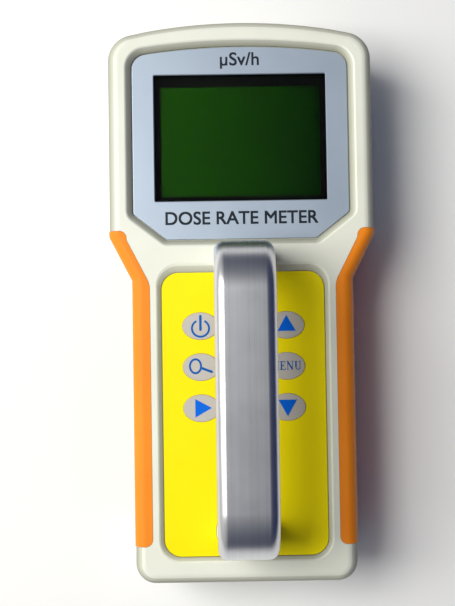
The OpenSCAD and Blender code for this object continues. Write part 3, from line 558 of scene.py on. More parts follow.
def oval(x, y, w, h, more=0.0, steps=72):  # more is added all round
    angles = [2 * math.pi * k / steps for k in range(steps)]
    return [Vector((x + (w / 2 + more) * math.cos(a), y + (h / 2 + more) * math.sin(a)))
            for a in angles]


def disc(x, y, r, steps=48):
    return oval(x, y, 2 * r, 2 * r, steps=steps)


# solids, in millimetres

into = 0.1  # how far a joined solid sinks into its neighbour
past = 1  # how far a cutting solid reaches past what it cuts
postSteps, holeSteps = 32, 24  # round a small post or hole
merging = {"read": 1e-6, "finish": 1e-7, "words": 1e-5}  # metres, but millimetres in words


def newSolid(name, bm):
    mesh = bpy.data.meshes.new(name)
    bm.to_mesh(mesh)
    bm.free()
    return addObject(name, mesh)


def loft(name, rings):  # each ring is a height and its points, lowest first
    bm = bmesh.new()
    loops = [[bm.verts.new((p[0], p[1], z)) for p in points] for z, points in rings]
    count = len(loops[0])
    bm.faces.new(list(reversed(loops[0])))
    bm.faces.new(loops[-1])
    for lower, upper in zip(loops, loops[1:]):
        for i in range(count):
            j = (i + 1) % count
            bm.faces.new((lower[i], lower[j], upper[j], upper[i]))
    return newSolid(name, bm)


def prism(points, z0, z1):
    return loft("tool", [(z0, points), (z1, points)])


def block(w, y0, y1, z0, z1, x=0.0):
    left, right = x - w / 2, x + w / 2
    return prism([Vector(p) for p in ((left, y0), (right, y0), (right, y1), (left, y1))], z0, z1)


def rod(x, y, z0, z1, r, steps=48):
    return prism(disc(x, y, r, steps), z0, z1)


def bake(piece):
    graph = bpy.context.evaluated_depsgraph_get()
    mesh = bpy.data.meshes.new_from_object(
        piece.evaluated_get(graph), preserve_all_data_layers=True, depsgraph=graph)
    old = piece.data
    piece.modifiers.clear()
    piece.data = mesh
    bpy.data.meshes.remove(old)
    return piece


def combine(piece, operation, *tools):
    for tool in tools:
        step = piece.modifiers.new("combine", "BOOLEAN")
        step.operation = operation
        step.object = tool
        step.solver = "MANIFOLD"
        bake(piece)
        bpy.data.objects.remove(tool)
    return piece


def cut(piece, *tools):
    return combine(piece, "DIFFERENCE", *tools)


def join(piece, *tools):
    return combine(piece, "UNION", *tools)


normalWeight = 80  # how much the large faces count in the shading


def finishPiece(piece, name, body, slotName, nodes=(), material=None, sharp=32):
    piece.name = name
    mesh = piece.data
    mesh.transform(Matrix.Scale(mm, 4))
    mesh.materials.clear()
    mesh.materials.append(material or materials[slotName])
    bm = bmesh.new()
    bm.from_mesh(mesh)
    bmesh.ops.remove_doubles(bm, verts=bm.verts, dist=merging["finish"])
    bmesh.ops.dissolve_degenerate(bm, dist=merging["finish"], edges=bm.edges)
    bm.to_mesh(mesh)
    bm.free()
    mesh.polygons.foreach_set("use_smooth", [True] * len(mesh.polygons))
    mesh.set_sharp_from_angle(angle=math.radians(sharp))
    weighted = piece.modifiers.new("weighted", "WEIGHTED_NORMAL")
    weighted.keep_sharp = True
    weighted.weight = normalWeight
    bake(piece)
    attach(piece, body)
    if nodes:
        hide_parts(*nodes)
    return piece


def boxOf(node):  # a CAD node's corners, in millimetres
    low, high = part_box(node)
    return low / mm, high / mm


# casing

casing = {"gripWidth": 88.0, "headLength": 86.0, "shoulder": 17.6, "crownRadius": 225.0,
          "headCorner": 11.0, "tailCorner": 8.0, "neckRadius": 2.0, "shoulderRadius": 3.0,
          "edge": 4.5, "wall": 2.5, "roof": 6.0, "seamBevel": 0.35, "edgeSteps": 12}
strip = {"thick": 2.0, "wrap": 7.0, "proud": 0.3, "tail": 15.0, "over": 2.0, "end": 3.0,
         "gap": 0.12, "shoulderRound": 0.5, "neckMore": 2}

frontLow, frontHigh = boxOf("front_shell")
rearTop = boxOf("rear_shell")[1].z
tailY, crownY, splitZ, faceZ = frontLow.y, frontHigh.y, frontLow.z, frontHigh.z
headHalf, gripHalf = frontHigh.x, casing["gripWidth"] / 2
roofZ = faceZ - casing["roof"]
shoulderY = crownY - casing["headLength"]
neckY = shoulderY - casing["shoulder"]
stripY0, stripY1 = tailY + strip["tail"], shoulderY + strip["over"]

bodyShape = bothHalves(
    [(gripHalf, tailY, casing["tailCorner"], 18),
     (gripHalf, neckY, casing["neckRadius"], 8),
     (headHalf, shoulderY, casing["shoulderRadius"], 8),
     (headHalf, crownAt(headHalf, crownY, casing["crownRadius"]), casing["headCorner"], 20)]
    + crownPoints(headHalf, crownY, casing["crownRadius"],
                  (0.7, 0.6, 0.5, 0.4, 0.3, 0.2, 0.1, 0)))


def edgeRings(shape, z, r, inset, up):
    steps = casing["edgeSteps"]
    rings = []
    for k in range(steps + 1):
        a = math.radians(90 * k / steps)
        rings.append((z - up * r * (1 - math.sin(a)),
                      outline(shape, inset + r * (1 - math.cos(a)))))
    return rings if up > 0 else rings[::-1]


def bodyCore(inset):
    side = max(inset, 0)
    r = casing["edge"] - side
    return loft("core", edgeRings(bodyShape, side, r, inset, -1)
                + edgeRings(bodyShape, faceZ - side, r, inset, 1))


def mirrored(points, side):
    return points if side > 0 else [Vector((-p[0], p[1])) for p in reversed(points)]


def stripArea(side, more=0.0):
    inner, headInner = gripHalf - strip["wrap"], headHalf - strip["wrap"]
    lean = math.atan2(headHalf - gripHalf, casing["shoulder"]) / 2
    drop = strip["wrap"] * math.tan(lean)
    outside = 2 * headHalf
    corners = [(outside, stripY0, leastRadius, 0), (outside, stripY1, leastRadius, 0),
               (headInner, stripY1, strip["end"], 12),
               (headInner, shoulderY - drop, strip["shoulderRound"], 3),
               (inner, neckY - drop, strip["wrap"] + strip["neckMore"], 12),
               (inner, stripY0, strip["end"], 12)]
    return mirrored(outline(corners, -more), side)


def pocket(side):
    return cut(prism(stripArea(side, strip["gap"]), -past, faceZ + past), bodyCore(strip["thick"]))


def cavity(z0, z1, sideInset):
    space = prism(outline(bodyShape, casing["wall"]), z0, z1)
    sides = block(4 * headHalf, stripY0 - casing["wall"], stripY1 + casing["wall"],
                  z0 - past, z1 + past)
    waist = prism(outline(bodyShape, sideInset), z0 - 2 * past, z1 + 2 * past)
    return cut(space, cut(sides, waist))


plateLow, plateHigh = boxOf("display_bezel")
padLow, padHigh = boxOf("keypad_overlay")
lensLow, lensHigh = boxOf("display_lens")
circuitLow, circuitHigh = boxOf("keypad_circuit")

bezel = {"cut": (13.4, 10.4), "corner": 6.0, "cutCorner": 2.5, "crownRadius": 280.0,
         "window": (69.2, 51.0), "windowUp": 15.4, "windowCorner": 0.5, "edge": 0.28, "lip": 2.7,
         "fit": 0.35, "sunk": 0.1}
plateHalf = plateHigh.x
plateShape = bothHalves(
    [(plateHalf - bezel["cut"][0], plateLow.y, bezel["cutCorner"], 8),
     (plateHalf, plateLow.y + bezel["cut"][1], bezel["cutCorner"], 8),
     (plateHalf, crownAt(plateHalf, plateHigh.y, bezel["crownRadius"]), bezel["corner"], 16)]
    + crownPoints(plateHalf, plateHigh.y, bezel["crownRadius"], (0.75, 0.6, 0.45, 0.3, 0.15, 0)))
windowY = plateLow.y + bezel["windowUp"] + bezel["window"][1] / 2

keypad = {"corner": 6.8, "lip": 1.8, "lipHead": 3.4, "fit": 0.25, "edge": 0.12, "rimRound": 0.22,
          "rimOver": 0.03, "rimSteps": 7, "under": 0.3}
padShape = boxShape(2 * padHigh.x, padLow.y, padHigh.y, keypad["corner"])


def lipRings(z0, shapeAt):  # a straight slope whose rim is rounded over
    h, bend = faceZ - z0, keypad["rimRound"]
    start, corner = (1 - bend, z0 + (1 - bend) * h), (1, z0 + h)
    end = (1 + bend, z0 + h + keypad["rimOver"])
    rings = []
    for k in range(keypad["rimSteps"] + 1):
        t = k / keypad["rimSteps"]
        share, z = ((1 - t) ** 2 * a + 2 * t * (1 - t) * b + t * t * c
                    for a, b, c in zip(start, corner, end))
        rings.append((z, shapeAt(share)))
    return rings + [(faceZ + past, rings[-1][1])]


def displayRecess():
    def shapeAt(share):
        return outline(plateShape, -bezel["fit"] - share * (bezel["lip"] - bezel["fit"]))
    start = plateHigh.z + bezel["sunk"]
    return loft("displayRecess", [(plateLow.z, shapeAt(0)), (start, shapeAt(0))]
                + lipRings(start, shapeAt))


def padRecess():
    def shapeAt(share):
        side, head = (keypad["fit"] + share * keypad[lip] for lip in ("lip", "lipHead"))
        return outline(boxShape(2 * (padHigh.x + side), padLow.y - side, padHigh.y + head,
                                keypad["corner"] + side))
    return loft("padRecess", [(circuitHigh.z - keypad["under"], shapeAt(0)),
                              (padHigh.z, shapeAt(0))] + lipRings(padHigh.z, shapeAt))


handleLow, handleHigh = boxOf("handle")
bow = {"thick": 10.0, "edge": 3.8, "bend": 10.0, "island": 0.6, "islandGap": 0.2, "screw": 2.5,
       "screwGap": 0.2, "threadGap": 0.05, "threadDeep": 9.0, "bendSteps": 22, "edgeSteps": 10,
       "islandRim": ((0.5, 0), (0.25, 0.07), (0.07, 0.25), (0, 0.5))}  # below the face, and in
barWidth = handleHigh.x * 2
legYs = (handleHigh.y - bow["thick"] / 2, handleLow.y + bow["thick"] / 2)


def footShape(y, room):  # a handle foot's outline, with some room round it
    return roundRect(barWidth + 2 * room, bow["thick"] + 2 * room, bow["edge"] + room, (0, y))


def island(y):
    rings = [(roofZ, footShape(y, bow["island"]))]
    rings += [(faceZ - drop, footShape(y, bow["island"] - inset))
              for drop, inset in bow["islandRim"]]
    return loft("island", rings)


def solidCentres(node):  # each separate solid of a CAD node: middle, low and high corners
    bm = bmesh.new()
    bm.from_mesh(frame["nodes"][node].data)
    bmesh.ops.remove_doubles(bm, verts=bm.verts, dist=merging["read"])
    seen, centres = set(), []
    for vert in bm.verts:
        if vert in seen:
            continue
        group, front = [], [vert]
        seen.add(vert)
        while front:
            here = front.pop()
            group.append(here.co.copy())
            for edge in here.link_edges:
                other = edge.other_vert(here)
                if other not in seen:
                    seen.add(other)
                    front.append(other)
        low, high = (Vector([pick(p[i] for p in group) for i in range(3)]) for pick in (min, max))
        centres.append(((low + high) / 2 / mm, low / mm, high / mm))
    bm.free()
    return centres


caseScrews, lcdScrews, mainScrews, detectorScrews = (
    solidCentres(node) for node in ("case_screws", "lcd_screws", "main_board_screws",
                                    "detector_board_screws"))
mainTop, lcdBoardTop = boxOf("main_board")[1].z, boxOf("lcd_board")[1].z
detectorUnder = boxOf("detector_board")[0].z
screw = {"head": 2.8, "headHigh": 2.2, "shank": 1.5, "smallShank": 1.25, "smallBoss": 2.8,
         "wall": 0.9, "rearWall": 1.8, "fit": 0.1, "clear": 0.2, "mouth": 0.5}
lensSeat = {"gap": 0.1, "ledge": 1.9, "over": 0.5}
tailSlot = {"narrower": 2, "half": 1, "reach": 20}


def frontShell():
    bevel = casing["seamBevel"]
    piece = loft("frontShell", [(splitZ, outline(bodyShape, bevel)),
                                (splitZ + bevel, outline(bodyShape))]
                 + edgeRings(bodyShape, faceZ, casing["edge"], 0, 1))
    cut(piece, pocket(1), pocket(-1),
        cavity(splitZ - past, roofZ, strip["thick"] + casing["wall"]))
    cut(piece, displayRecess(), padRecess())
    join(piece, island(legYs[0]), island(legYs[1]))
    for screws, z, boss, shank, steps in (
            (caseScrews, splitZ, screw["head"] + screw["wall"], screw["shank"], 48),
            (lcdScrews, lcdBoardTop, screw["smallBoss"], screw["smallShank"], postSteps),
            (mainScrews, mainTop, screw["smallBoss"], screw["smallShank"], postSteps)):
        for centre, _, high in screws:
            join(piece, rod(centre.x, centre.y, z, roofZ + into, boss, steps))
            cut(piece, rod(centre.x, centre.y, z - past, high.z + past, shank + screw["fit"],
                           holeSteps))
    wide, y0, y1 = lensHigh.x * 2, lensLow.y, lensHigh.y
    gap, ledge, over = lensSeat["gap"], lensSeat["ledge"], lensSeat["over"]
    cut(piece, block(wide + 2 * gap, y0 - gap, y1 + gap, lensLow.z, plateLow.z + over),
        block(wide - 2 * ledge, y0 + ledge, y1 - ledge, roofZ - past, lensLow.z + over))
    socketLow, socketHigh = boxOf("keypad_socket")
    slotY = (socketLow.y + socketHigh.y) / 2
    cut(piece, block(socketHigh.x * 2 - tailSlot["narrower"], slotY - tailSlot["half"],
                     slotY + tailSlot["half"], roofZ - past, circuitLow.z + tailSlot["reach"]))
    for y in legYs:
        cut(piece, rod(0, y, roofZ - past, faceZ + past, bow["screw"] + bow["screwGap"],
                       postSteps))
    return finishPiece(piece, "frontShell", "case", "casing", ["front_shell"])


doorHigh = boxOf("battery_door")[1]
springLow, springHigh = boxOf("battery_springs")
cellLow, cellHigh = boxOf("battery_1")
buzzerLow, buzzerHigh = boxOf("buzzer")
buzzerY, buzzerR = (buzzerLow.y + buzzerHigh.y) / 2, buzzerHigh.x
door = {"tongue": 1.2, "tongueThick": 1.0, "gap": 0.2, "rail": 2.0, "edge": 0.25, "overTail": 2,
        "ribs": 5, "ribPitch": 3.0, "ribLong": 22.0, "ribRadius": 0.9, "grooveTail": 11.1,
        "dish": 0.45, "dishRound": 2.0, "dishFlare": 0.5, "dishRoom": (3, 4.2)}
bay = {"wall": 1.6, "roofAbove": 0.6, "ends": 0.5, "sides": 0.6}
bayY0, bayY1 = springLow.y - bay["ends"], springHigh.y + bay["ends"]
bayHalf = -cellLow.x + bay["sides"]
speaker = {"slots": 7, "wide": 1.4, "reach": 0.8, "flare": 0.3, "roundLess": 0.01, "ring": 1.6,
           "ringHigh": 2.4, "fit": 0.1}
contactSlot = {"wide": 4.2, "low": 3.1, "high": 2.4}  # the heights are below the contact's top


def rearOuter(top):
    bevel = casing["seamBevel"]
    return loft("rearShell", edgeRings(bodyShape, 0, casing["edge"], 0, -1)
                + [(top - bevel, outline(bodyShape)), (top, outline(bodyShape, bevel))])


def speakerSlots():
    wide, flare = speaker["wide"], speaker["flare"]
    tools = []
    for k in range(speaker["slots"]):
        x = -(speaker["slots"] - 1) * wide + 2 * k * wide
        reach = 2 * speaker["reach"] * math.sqrt(buzzerR ** 2 - x * x)
        points, mouth = (roundRect(wide + 2 * more, reach + 2 * more,
                                   wide / 2 + more - speaker["roundLess"], (x, buzzerY), 6)
                         for more in (0, flare))
        tools.append(loft("slot", [(-flare, mouth), (0, mouth), (flare, points),
                                   (casing["wall"] + past, points)]))
    return tools


def rearShell():
    wall, gap, tongue = casing["wall"], door["gap"], door["tongue"]
    piece = rearOuter(rearTop)
    railZ = doorHigh.z + gap + door["rail"]
    cut(piece, pocket(1), pocket(-1), cavity(railZ, rearTop + past, strip["thick"] + wall),
        cavity(wall, railZ + past / 2, strip["wrap"] + wall))
    bayTop = cellHigh.z + bay["roofAbove"]
    join(piece, block(2 * (bayHalf + bay["wall"]), bayY0 - bay["wall"], bayY1 + bay["wall"],
                      railZ - into, bayTop + bay["wall"]),
         block(2 * (doorHigh.x + door["rail"]), tailY + wall, doorHigh.y + tongue + door["rail"],
               wall - into, railZ))
    for screws, top, boss, steps in (
            (caseScrews, rearTop, screw["head"] + screw["rearWall"], 48),
            (detectorScrews, detectorUnder, screw["smallBoss"], postSteps)):
        for centre, *_ in screws:
            join(piece, rod(centre.x, centre.y, wall - into, top, boss, steps))
    join(piece, cut(rod(0, buzzerY, wall - into, wall + speaker["ringHigh"],
                        buzzerR + speaker["ring"]),
                    rod(0, buzzerY, wall - past, wall + speaker["ringHigh"] + 4 * past,
                        buzzerR + speaker["fit"])))
    y0, y1, doorTop = tailY - past, doorHigh.y + gap, doorHigh.z + gap
    cut(piece, block(2 * bayHalf, bayY0, bayY1, -past, bayTop),
        block(2 * (doorHigh.x - tongue + gap), y0, y1, -past, doorTop),
        block(2 * (doorHigh.x + gap), y0, y1, doorHigh.z - door["tongueThick"] - gap, doorTop))
    hole, mouth = screw["head"] + screw["clear"], screw["mouth"]
    for centre, low, _ in caseScrews:
        x, y, ledge = centre.x, centre.y, low.z + screw["headHigh"]
        narrow, flared = disc(x, y, hole), disc(x, y, hole + mouth)
        cut(piece, loft("counterbore", [(-past, flared), (0, flared), (mouth, narrow),
                                        (ledge, narrow)]),
            rod(x, y, -past, rearTop + past, screw["shank"] + screw["clear"], holeSteps))
    for centre, *_ in detectorScrews:
        cut(piece, rod(centre.x, centre.y, wall + screw["mouth"], detectorUnder + past,
                       screw["smallShank"] + screw["fit"], holeSteps))
    cut(piece, *speakerSlots())
    for contact, _, high in solidCentres("battery_contacts"):
        if high.y > bayY1 + past:
            cut(piece, block(contactSlot["wide"], bayY1 - past, bayY1 + bay["wall"] + past,
                             high.z - contactSlot["low"], high.z - contactSlot["high"],
                             contact.x))
    return finishPiece(piece, "rearShell", "case", "casing", ["rear_shell"])


def sideGrip(side, name, node):
    piece = combine(bodyCore(-strip["proud"]), "INTERSECT",
                    prism(stripArea(side), -past, faceZ + past))
    cut(piece, bodyCore(strip["thick"]))
    return finishPiece(piece, name, "case", "grip_rubber", [node], sharp=40)


# display

softShare = 0.3  # where the softened edge of a plate turns, as a share of its height


def edgedPlate(name, shape, low, high, edge):  # a flat plate whose upper edge is softened
    soft = softShare * edge
    return loft(name, [(low, outline(shape)), (high - edge, outline(shape)),
                       (high - soft, outline(shape, soft)), (high, outline(shape, edge))])


def displayBezel():
    low, high, edge = plateLow.z, plateHigh.z, bezel["edge"]
    w, h = bezel["window"]
    piece = edgedPlate("displayBezel", plateShape, low, high, edge)
    straight, flared = (roundRect(w + 2 * more, h + 2 * more, bezel["windowCorner"] + more,
                                  (0, windowY), 6) for more in (0, edge))
    cut(piece, loft("opening", [(low - past, straight), (high - edge, straight), (high, flared),
                                (high + past, flared)]))
    return finishPiece(piece, "displayBezel", "case", "bezel_plate", ["display_bezel"], sharp=25)


lens = {"corner": 1.0, "chamfer": 0.1}


def displayLens():
    w, h, y = lensHigh.x * 2, lensHigh.y - lensLow.y, (lensLow.y + lensHigh.y) / 2
    low, high, chamfer = lensLow.z, lensHigh.z, lens["chamfer"]
    rings = [(z, roundRect(w - 2 * inset, h - 2 * inset, lens["corner"] - inset, (0, y), 6))
             for z, inset in ((low, chamfer), (low + chamfer, 0), (high - chamfer, 0),
                              (high, chamfer))]
    return finishPiece(loft("displayLens", rings), "displayLens", "case", "lens",
                       ["display_lens"])


lettering = {"thick": 0.03, "curveSteps": 6, "words": {  # words, width, y and how bold
    "topWords": ("µSv/h", 15.5, plateHigh.y - 5.6, 0.2),
    "footWords": ("DOSE RATE METER", 61.0, plateLow.y + 8.4, 0.26)}}


def printedWords(name, words, wide, y, bold):
    curve = bpy.data.curves.new(name, "FONT")
    curve.body = words
    curve.align_x, curve.align_y = "CENTER", "CENTER"
    curve.resolution_u = lettering["curveSteps"]
    curve.extrude = 0.5
    source = addObject(name, curve)
    graph = bpy.context.evaluated_depsgraph_get()
    mesh = bpy.data.meshes.new_from_object(source.evaluated_get(graph), depsgraph=graph)
    bpy.data.objects.remove(source)
    low, high = ([pick(v.co[i] for v in mesh.vertices) for i in range(3)] for pick in (min, max))
    scale = wide / (high[0] - low[0])
    middle = Matrix.Translation([-(low[i] + high[i]) / 2 for i in range(3)])
    mesh.transform(Matrix.Translation((0, y, plateHigh.z))
                   @ Matrix.Diagonal((scale, scale, lettering["thick"], 1)) @ middle)
    bm = bmesh.new()
    bm.from_mesh(mesh)
    bmesh.ops.remove_doubles(bm, verts=bm.verts, dist=merging["words"])
    bmesh.ops.recalc_face_normals(bm, faces=bm.faces)
    bm.to_mesh(mesh)
    bm.free()
    piece = addObject(name, mesh)
    copies = []
    for shift in ((bold, 0, 0), (0, bold, 0), (bold, bold, 0)):  # thickened by shifted copies
        copies.append(addObject("copy", mesh.copy()))
        copies[-1].data.transform(Matrix.Translation(shift))
    join(piece, *copies)
    return finishPiece(piece, name, "case", "bezel_plate", (), inks["darkInk"], sharp=30)


# keypad

keyShape = {"wide": 14.4, "tall": 10.8, "gap": 0.1, "round": 0.22, "crown": 0.05, "ink": 0.025,
            "stem": 2.0, "rimSteps": 6, "crownShares": (0.25, 0.5, 0.75, 0.95)}
keyNames = ("power", "search", "right", "up", "menu", "down")
keyBoxes = {name: boxOf("key_" + name) for name in keyNames}
keyAt = {name: (box[0] + box[1]) / 2 for name, box in keyBoxes.items()}
keyTop = keyBoxes["power"][1].z


def keypadOverlay():
    low, high = padLow.z, padHigh.z
    piece = edgedPlate("keypadOverlay", padShape, low, high, keypad["edge"])
    holes = [oval(at.x, at.y, keyShape["wide"], keyShape["tall"], keyShape["gap"])
             for at in keyAt.values()]
    holes.append(footShape(legYs[1], bow["island"] + bow["islandGap"]))
    for hole in holes:
        cut(piece, prism(hole, low - past, high + past))
    return finishPiece(piece, "keypadOverlay", "case", "keypad_film", ["keypad_overlay"], sharp=25)


def keyCap(name):
    at, r, crown = keyAt[name], keyShape["round"], keyShape["crown"]
    w, h, top = keyShape["wide"], keyShape["tall"], keyTop - crown
    rings = [(padLow.z, oval(at.x, at.y, w, h))]
    for k in range(keyShape["rimSteps"] + 1):
        a = math.radians(90 * k / keyShape["rimSteps"])
        rings.append((top - r * (1 - math.sin(a)), oval(at.x, at.y, w, h, -r * (1 - math.cos(a)))))
    for share in keyShape["crownShares"]:
        rings.append((top + crown * (1 - (1 - share) ** 2),
                      oval(at.x, at.y, w * (1 - share), h * (1 - share), -r * (1 - share))))
    piece = join(loft("key", rings), rod(at.x, at.y, keyBoxes[name][0].z, padLow.z + into,
                                         keyShape["stem"], postSteps))
    return finishPiece(piece, name + "Key", name + "_button", "key_film", ["key_" + name], sharp=50)


dome = {"sheet": 0.08, "rings": 7, "steps": 40, "hole": 0.03, "pressed": 0.25}


def keyDome(name):  # the snap dome under a key, drawn in its rest shape (the real dome flattens as the key goes down)
    low, high = boxOf("dome_" + name)
    middle, rise, r = (low + high) / 2, high.z - low.z - dome["sheet"], (high.x - low.x) / 2
    shares = [dome["hole"]] + [k / dome["rings"] for k in range(1, dome["rings"] + 1)]
    under = [(low.z + rise * (1 - share ** 2), disc(middle.x, middle.y, r * share, dome["steps"]))
             for share in shares]
    over = [(z + dome["sheet"], points) for z, points in reversed(under)]
    piece = finishPiece(loft("dome", under + over), name + "Dome", "case", "steel",
                        ["dome_" + name], sharp=45)
    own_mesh(piece)


capSteps = 8  # round each end of a rounded stroke


def stroke(x0, y0, x1, y1, w, rounded=False):
    a, b = Vector((x0, y0)), Vector((x1, y1))
    side = leftOf(unit(b - a)) * w / 2
    if not rounded:
        return [a - side, b - side, b + side, a + side]
    along = unit(b - a)
    cap = [k * math.pi / capSteps for k in range(capSteps + 1)]
    return ([b + along * w / 2 * math.sin(t) - side * math.cos(t) for t in cap]
            + [a - along * w / 2 * math.sin(t) + side * math.cos(t) for t in cap])


def arcBand(x, y, rx, ry, w, start, end, steps=40):
    angles = [math.radians(start + (end - start) * k / steps) for k in range(steps + 1)]
    outer, inner = ([Vector((x + (rx + half) * math.cos(a), y + (ry + half) * math.sin(a)))
                     for a in angles] for half in (w / 2, -w / 2))
    return outer + inner[::-1]


letterForms = {  # strokes of a letter with feet, in a box one unit high: x0, y0, x1, y1, width
    "M": [(0.14, 0, 0.14, 1, 0.09), (0.86, 0, 0.86, 1, 0.17), (0.16, 0.97, 0.50, 0.10, 0.17),
          (0.50, 0.10, 0.84, 0.97, 0.08), (0.0, 0.035, 0.30, 0.035, 0.07),
          (0.70, 0.035, 1.02, 0.035, 0.07), (0.0, 0.965, 0.20, 0.965, 0.07),
          (0.82, 0.965, 1.02, 0.965, 0.07)],
    "E": [(0.17, 0, 0.17, 1, 0.19), (0.0, 0.04, 0.66, 0.04, 0.08), (0.0, 0.96, 0.62, 0.96, 0.08),
          (0.2, 0.51, 0.47, 0.51, 0.08), (0.615, 0.76, 0.615, 1, 0.07),
          (0.655, 0, 0.655, 0.26, 0.07), (0.46, 0.37, 0.46, 0.65, 0.07)],
    "N": [(0.12, 0, 0.12, 1, 0.08), (0.72, 0, 0.72, 1, 0.08), (0.10, 0.97, 0.72, 0.05, 0.19),
          (0.0, 0.035, 0.25, 0.035, 0.07), (0.58, 0.965, 0.86, 0.965, 0.07),
          (0.0, 0.965, 0.16, 0.965, 0.07)],
    "U": [(0.17, 0.28, 0.17, 1, 0.19), (0.68, 0.28, 0.68, 1, 0.08), (0.0, 0.965, 0.35, 0.965, 0.07),
          (0.53, 0.965, 0.83, 0.965, 0.07)],
}
letterWide = {"M": 1.02, "E": 0.72, "N": 0.86, "U": 0.83}
letterBowl = (0.425, 0.30, 0.255, 0.255, 0.09, 180, 360, 24)  # the round foot of the U


def menuLetters(x, y, tall, gap, squeeze):
    total = sum(letterWide[c] * tall * squeeze for c in "MENU") + 3 * gap
    at, shapes = x - total / 2, []
    for c in "MENU":
        parts = [stroke(*form) for form in letterForms[c]]
        if c == "U":
            parts.append(arcBand(*letterBowl))
        shapes += [[Vector((at + p.x * tall * squeeze, y + (p.y - 0.5) * tall)) for p in part]
                   for part in parts]
        at += letterWide[c] * tall * squeeze + gap
    return shapes


icons = {  # each mark as outlines about the middle of its key
    "power": [arcBand(0, -0.9, 3.4, 3.3, 0.8, 118, 422), stroke(0, 4.0, 0, -1.4, 1.0, True)],
    "search": [arcBand(-2.2, 0.4, 2.2, 2.75, 0.8, 0, 359.9, 64),
               stroke(0.3, -0.4, 4.2, -1.9, 1.0, True)],
    "right": [[Vector(p) for p in ((-2.5, -3.6), (4.1, 0.1), (-2.5, 3.7))]],
    "up": [[Vector(p) for p in ((-3.6, -2.4), (3.7, -2.4), (0, 4.0))]],
    "menu": menuLetters(-0.4, 0.15, 3.5, 0.45, 0.88),
    "down": [[Vector(p) for p in ((0, -3.7), (3.7, 2.9), (-3.7, 2.9))]],
}


def keyMark(name):
    at, crown = keyAt[name], keyShape["crown"]
    low, high = keyTop - 2 * crown, keyTop + keyShape["ink"]
    piece = None
    for points in icons[name]:
        area = sum(points[i - 1].cross(points[i]) for i in range(len(points)))
        placed = [p + Vector((at.x, at.y)) for p in (points if area > 0 else points[::-1])]
        shape = prism(placed, low, high)
        piece = join(piece, shape) if piece else shape
    ink = inks["brightInk" if name in ("right", "up", "down") else "blueInk"]
    return finishPiece(piece, name + "Mark", name + "_button", "key_film", (), ink, sharp=30)


# what repeats, or follows a path

def newTree(name, *labels):  # every input is a length or a number of turns
    tree = bpy.data.node_groups.new(name, "GeometryNodeTree")
    addSocket(tree, "Geometry", "INPUT", "Geometry")
    for label in labels:
        addSocket(tree, label, "INPUT", "Float")
    addSocket(tree, "Material", "INPUT", "Material")
    addSocket(tree, "Geometry", "OUTPUT", "Geometry")
    return tree, tree.nodes.new("NodeGroupInput").outputs


def addNode(tree, kind, inputs=None, **settings):
    whole = kind if kind.startswith(("Shader", "FunctionNode")) else "GeometryNode" + kind
    node = tree.nodes.new(whole)
    for key, value in settings.items():
        setattr(node, key, value)
    for label, value in (inputs or {}).items():
        feed(tree, (node.inputs[label],), (value,))
    return node


def endTree(tree, geometry, material):
    real = addNode(tree, "RealizeInstances", {"Geometry": geometry})
    dressed = addNode(tree, "SetMaterial", {"Geometry": real.outputs[0], "Material": material})
    end = tree.nodes.new("NodeGroupOutput")
    tree.links.new(dressed.outputs[0], end.inputs[0])
    return tree


def grow(name, tree, places, edges=(), ways=None, **values):
    mesh = bpy.data.meshes.new(name)
    mesh.from_pydata(places, edges, [])
    if ways:
        attribute = mesh.attributes.new("way", "FLOAT_VECTOR", "POINT")
        for i, way in enumerate(ways):
            attribute.data[i].vector = way
    piece = addObject(name, mesh)
    step = piece.modifiers.new("grow", "NODES")
    step.node_group = tree
    for item in tree.interface.items_tree:
        key = item.name.replace(" ", "_")
        if item.in_out == "INPUT" and key in values:
            step[item.identifier] = values[key]
    return bake(piece)


def vectorOf(tree, x, y, z):
    return addNode(tree, "ShaderNodeCombineXYZ", {"X": x, "Y": y, "Z": z}).outputs[0]


def maths(tree, operation, first, second):
    return addNode(tree, "ShaderNodeMath", {0: first, 1: second}, operation=operation).outputs[0]


def captured(tree, geometry, label, kind, value):  # keeps a value of a curve for its swept mesh
    node = addNode(tree, "CaptureAttribute", {"Geometry": geometry})
    node.capture_items.new(kind, label)
    tree.links.new(value, node.inputs[label])
    return node.outputs


def swept(tree, path, section):
    return addNode(tree, "CurveToMesh", {"Curve": path, "Profile Curve": section,
                                         "Fill Caps": True}).outputs[0]


def scattered(tree, start, instance, **turn):  # one on each point, as a mesh with its material
    placed = addNode(tree, "InstanceOnPoints", {"Points": start["Geometry"],
                                                "Instance": instance, **turn})
    return endTree(tree, placed.outputs[0], start["Material"])


def buildHandleTree():
    tree, start = newTree("bowHandle", "Width", "Thick", "Edge", "Bend")
    path = addNode(tree, "MeshToCurve", {"Mesh": start["Geometry"]})
    bent = addNode(tree, "FilletCurve", {"Curve": path.outputs[0], "Count": bow["bendSteps"],
                                         "Radius": start["Bend"]}, mode="POLY")
    section = addNode(tree, "CurvePrimitiveQuadrilateral", {"Width": start["Width"],
                                                            "Height": start["Thick"]})
    soft = addNode(tree, "FilletCurve", {"Curve": section.outputs[0], "Count": bow["edgeSteps"],
                                         "Radius": start["Edge"]}, mode="POLY")
    along = addNode(tree, "SplineParameter").outputs["Length"]
    line = captured(tree, bent.outputs[0], "Length", "FLOAT", along)
    place = addNode(tree, "InputPosition").outputs[0]
    profile = captured(tree, soft.outputs[0], "Place", "VECTOR", place)
    lengthways = vectorOf(tree, 0.0, 0.0, line["Length"])
    both = addNode(tree, "ShaderNodeVectorMath", {0: lengthways, 1: profile["Place"]},
                   operation="ADD")
    stored = addNode(tree, "StoreNamedAttribute", {
        "Geometry": swept(tree, line[0], profile[0]), "Name": "sweep", "Value": both.outputs[0],
    }, data_type="FLOAT_VECTOR", domain="POINT")
    return endTree(tree, stored.outputs[0], start["Material"])


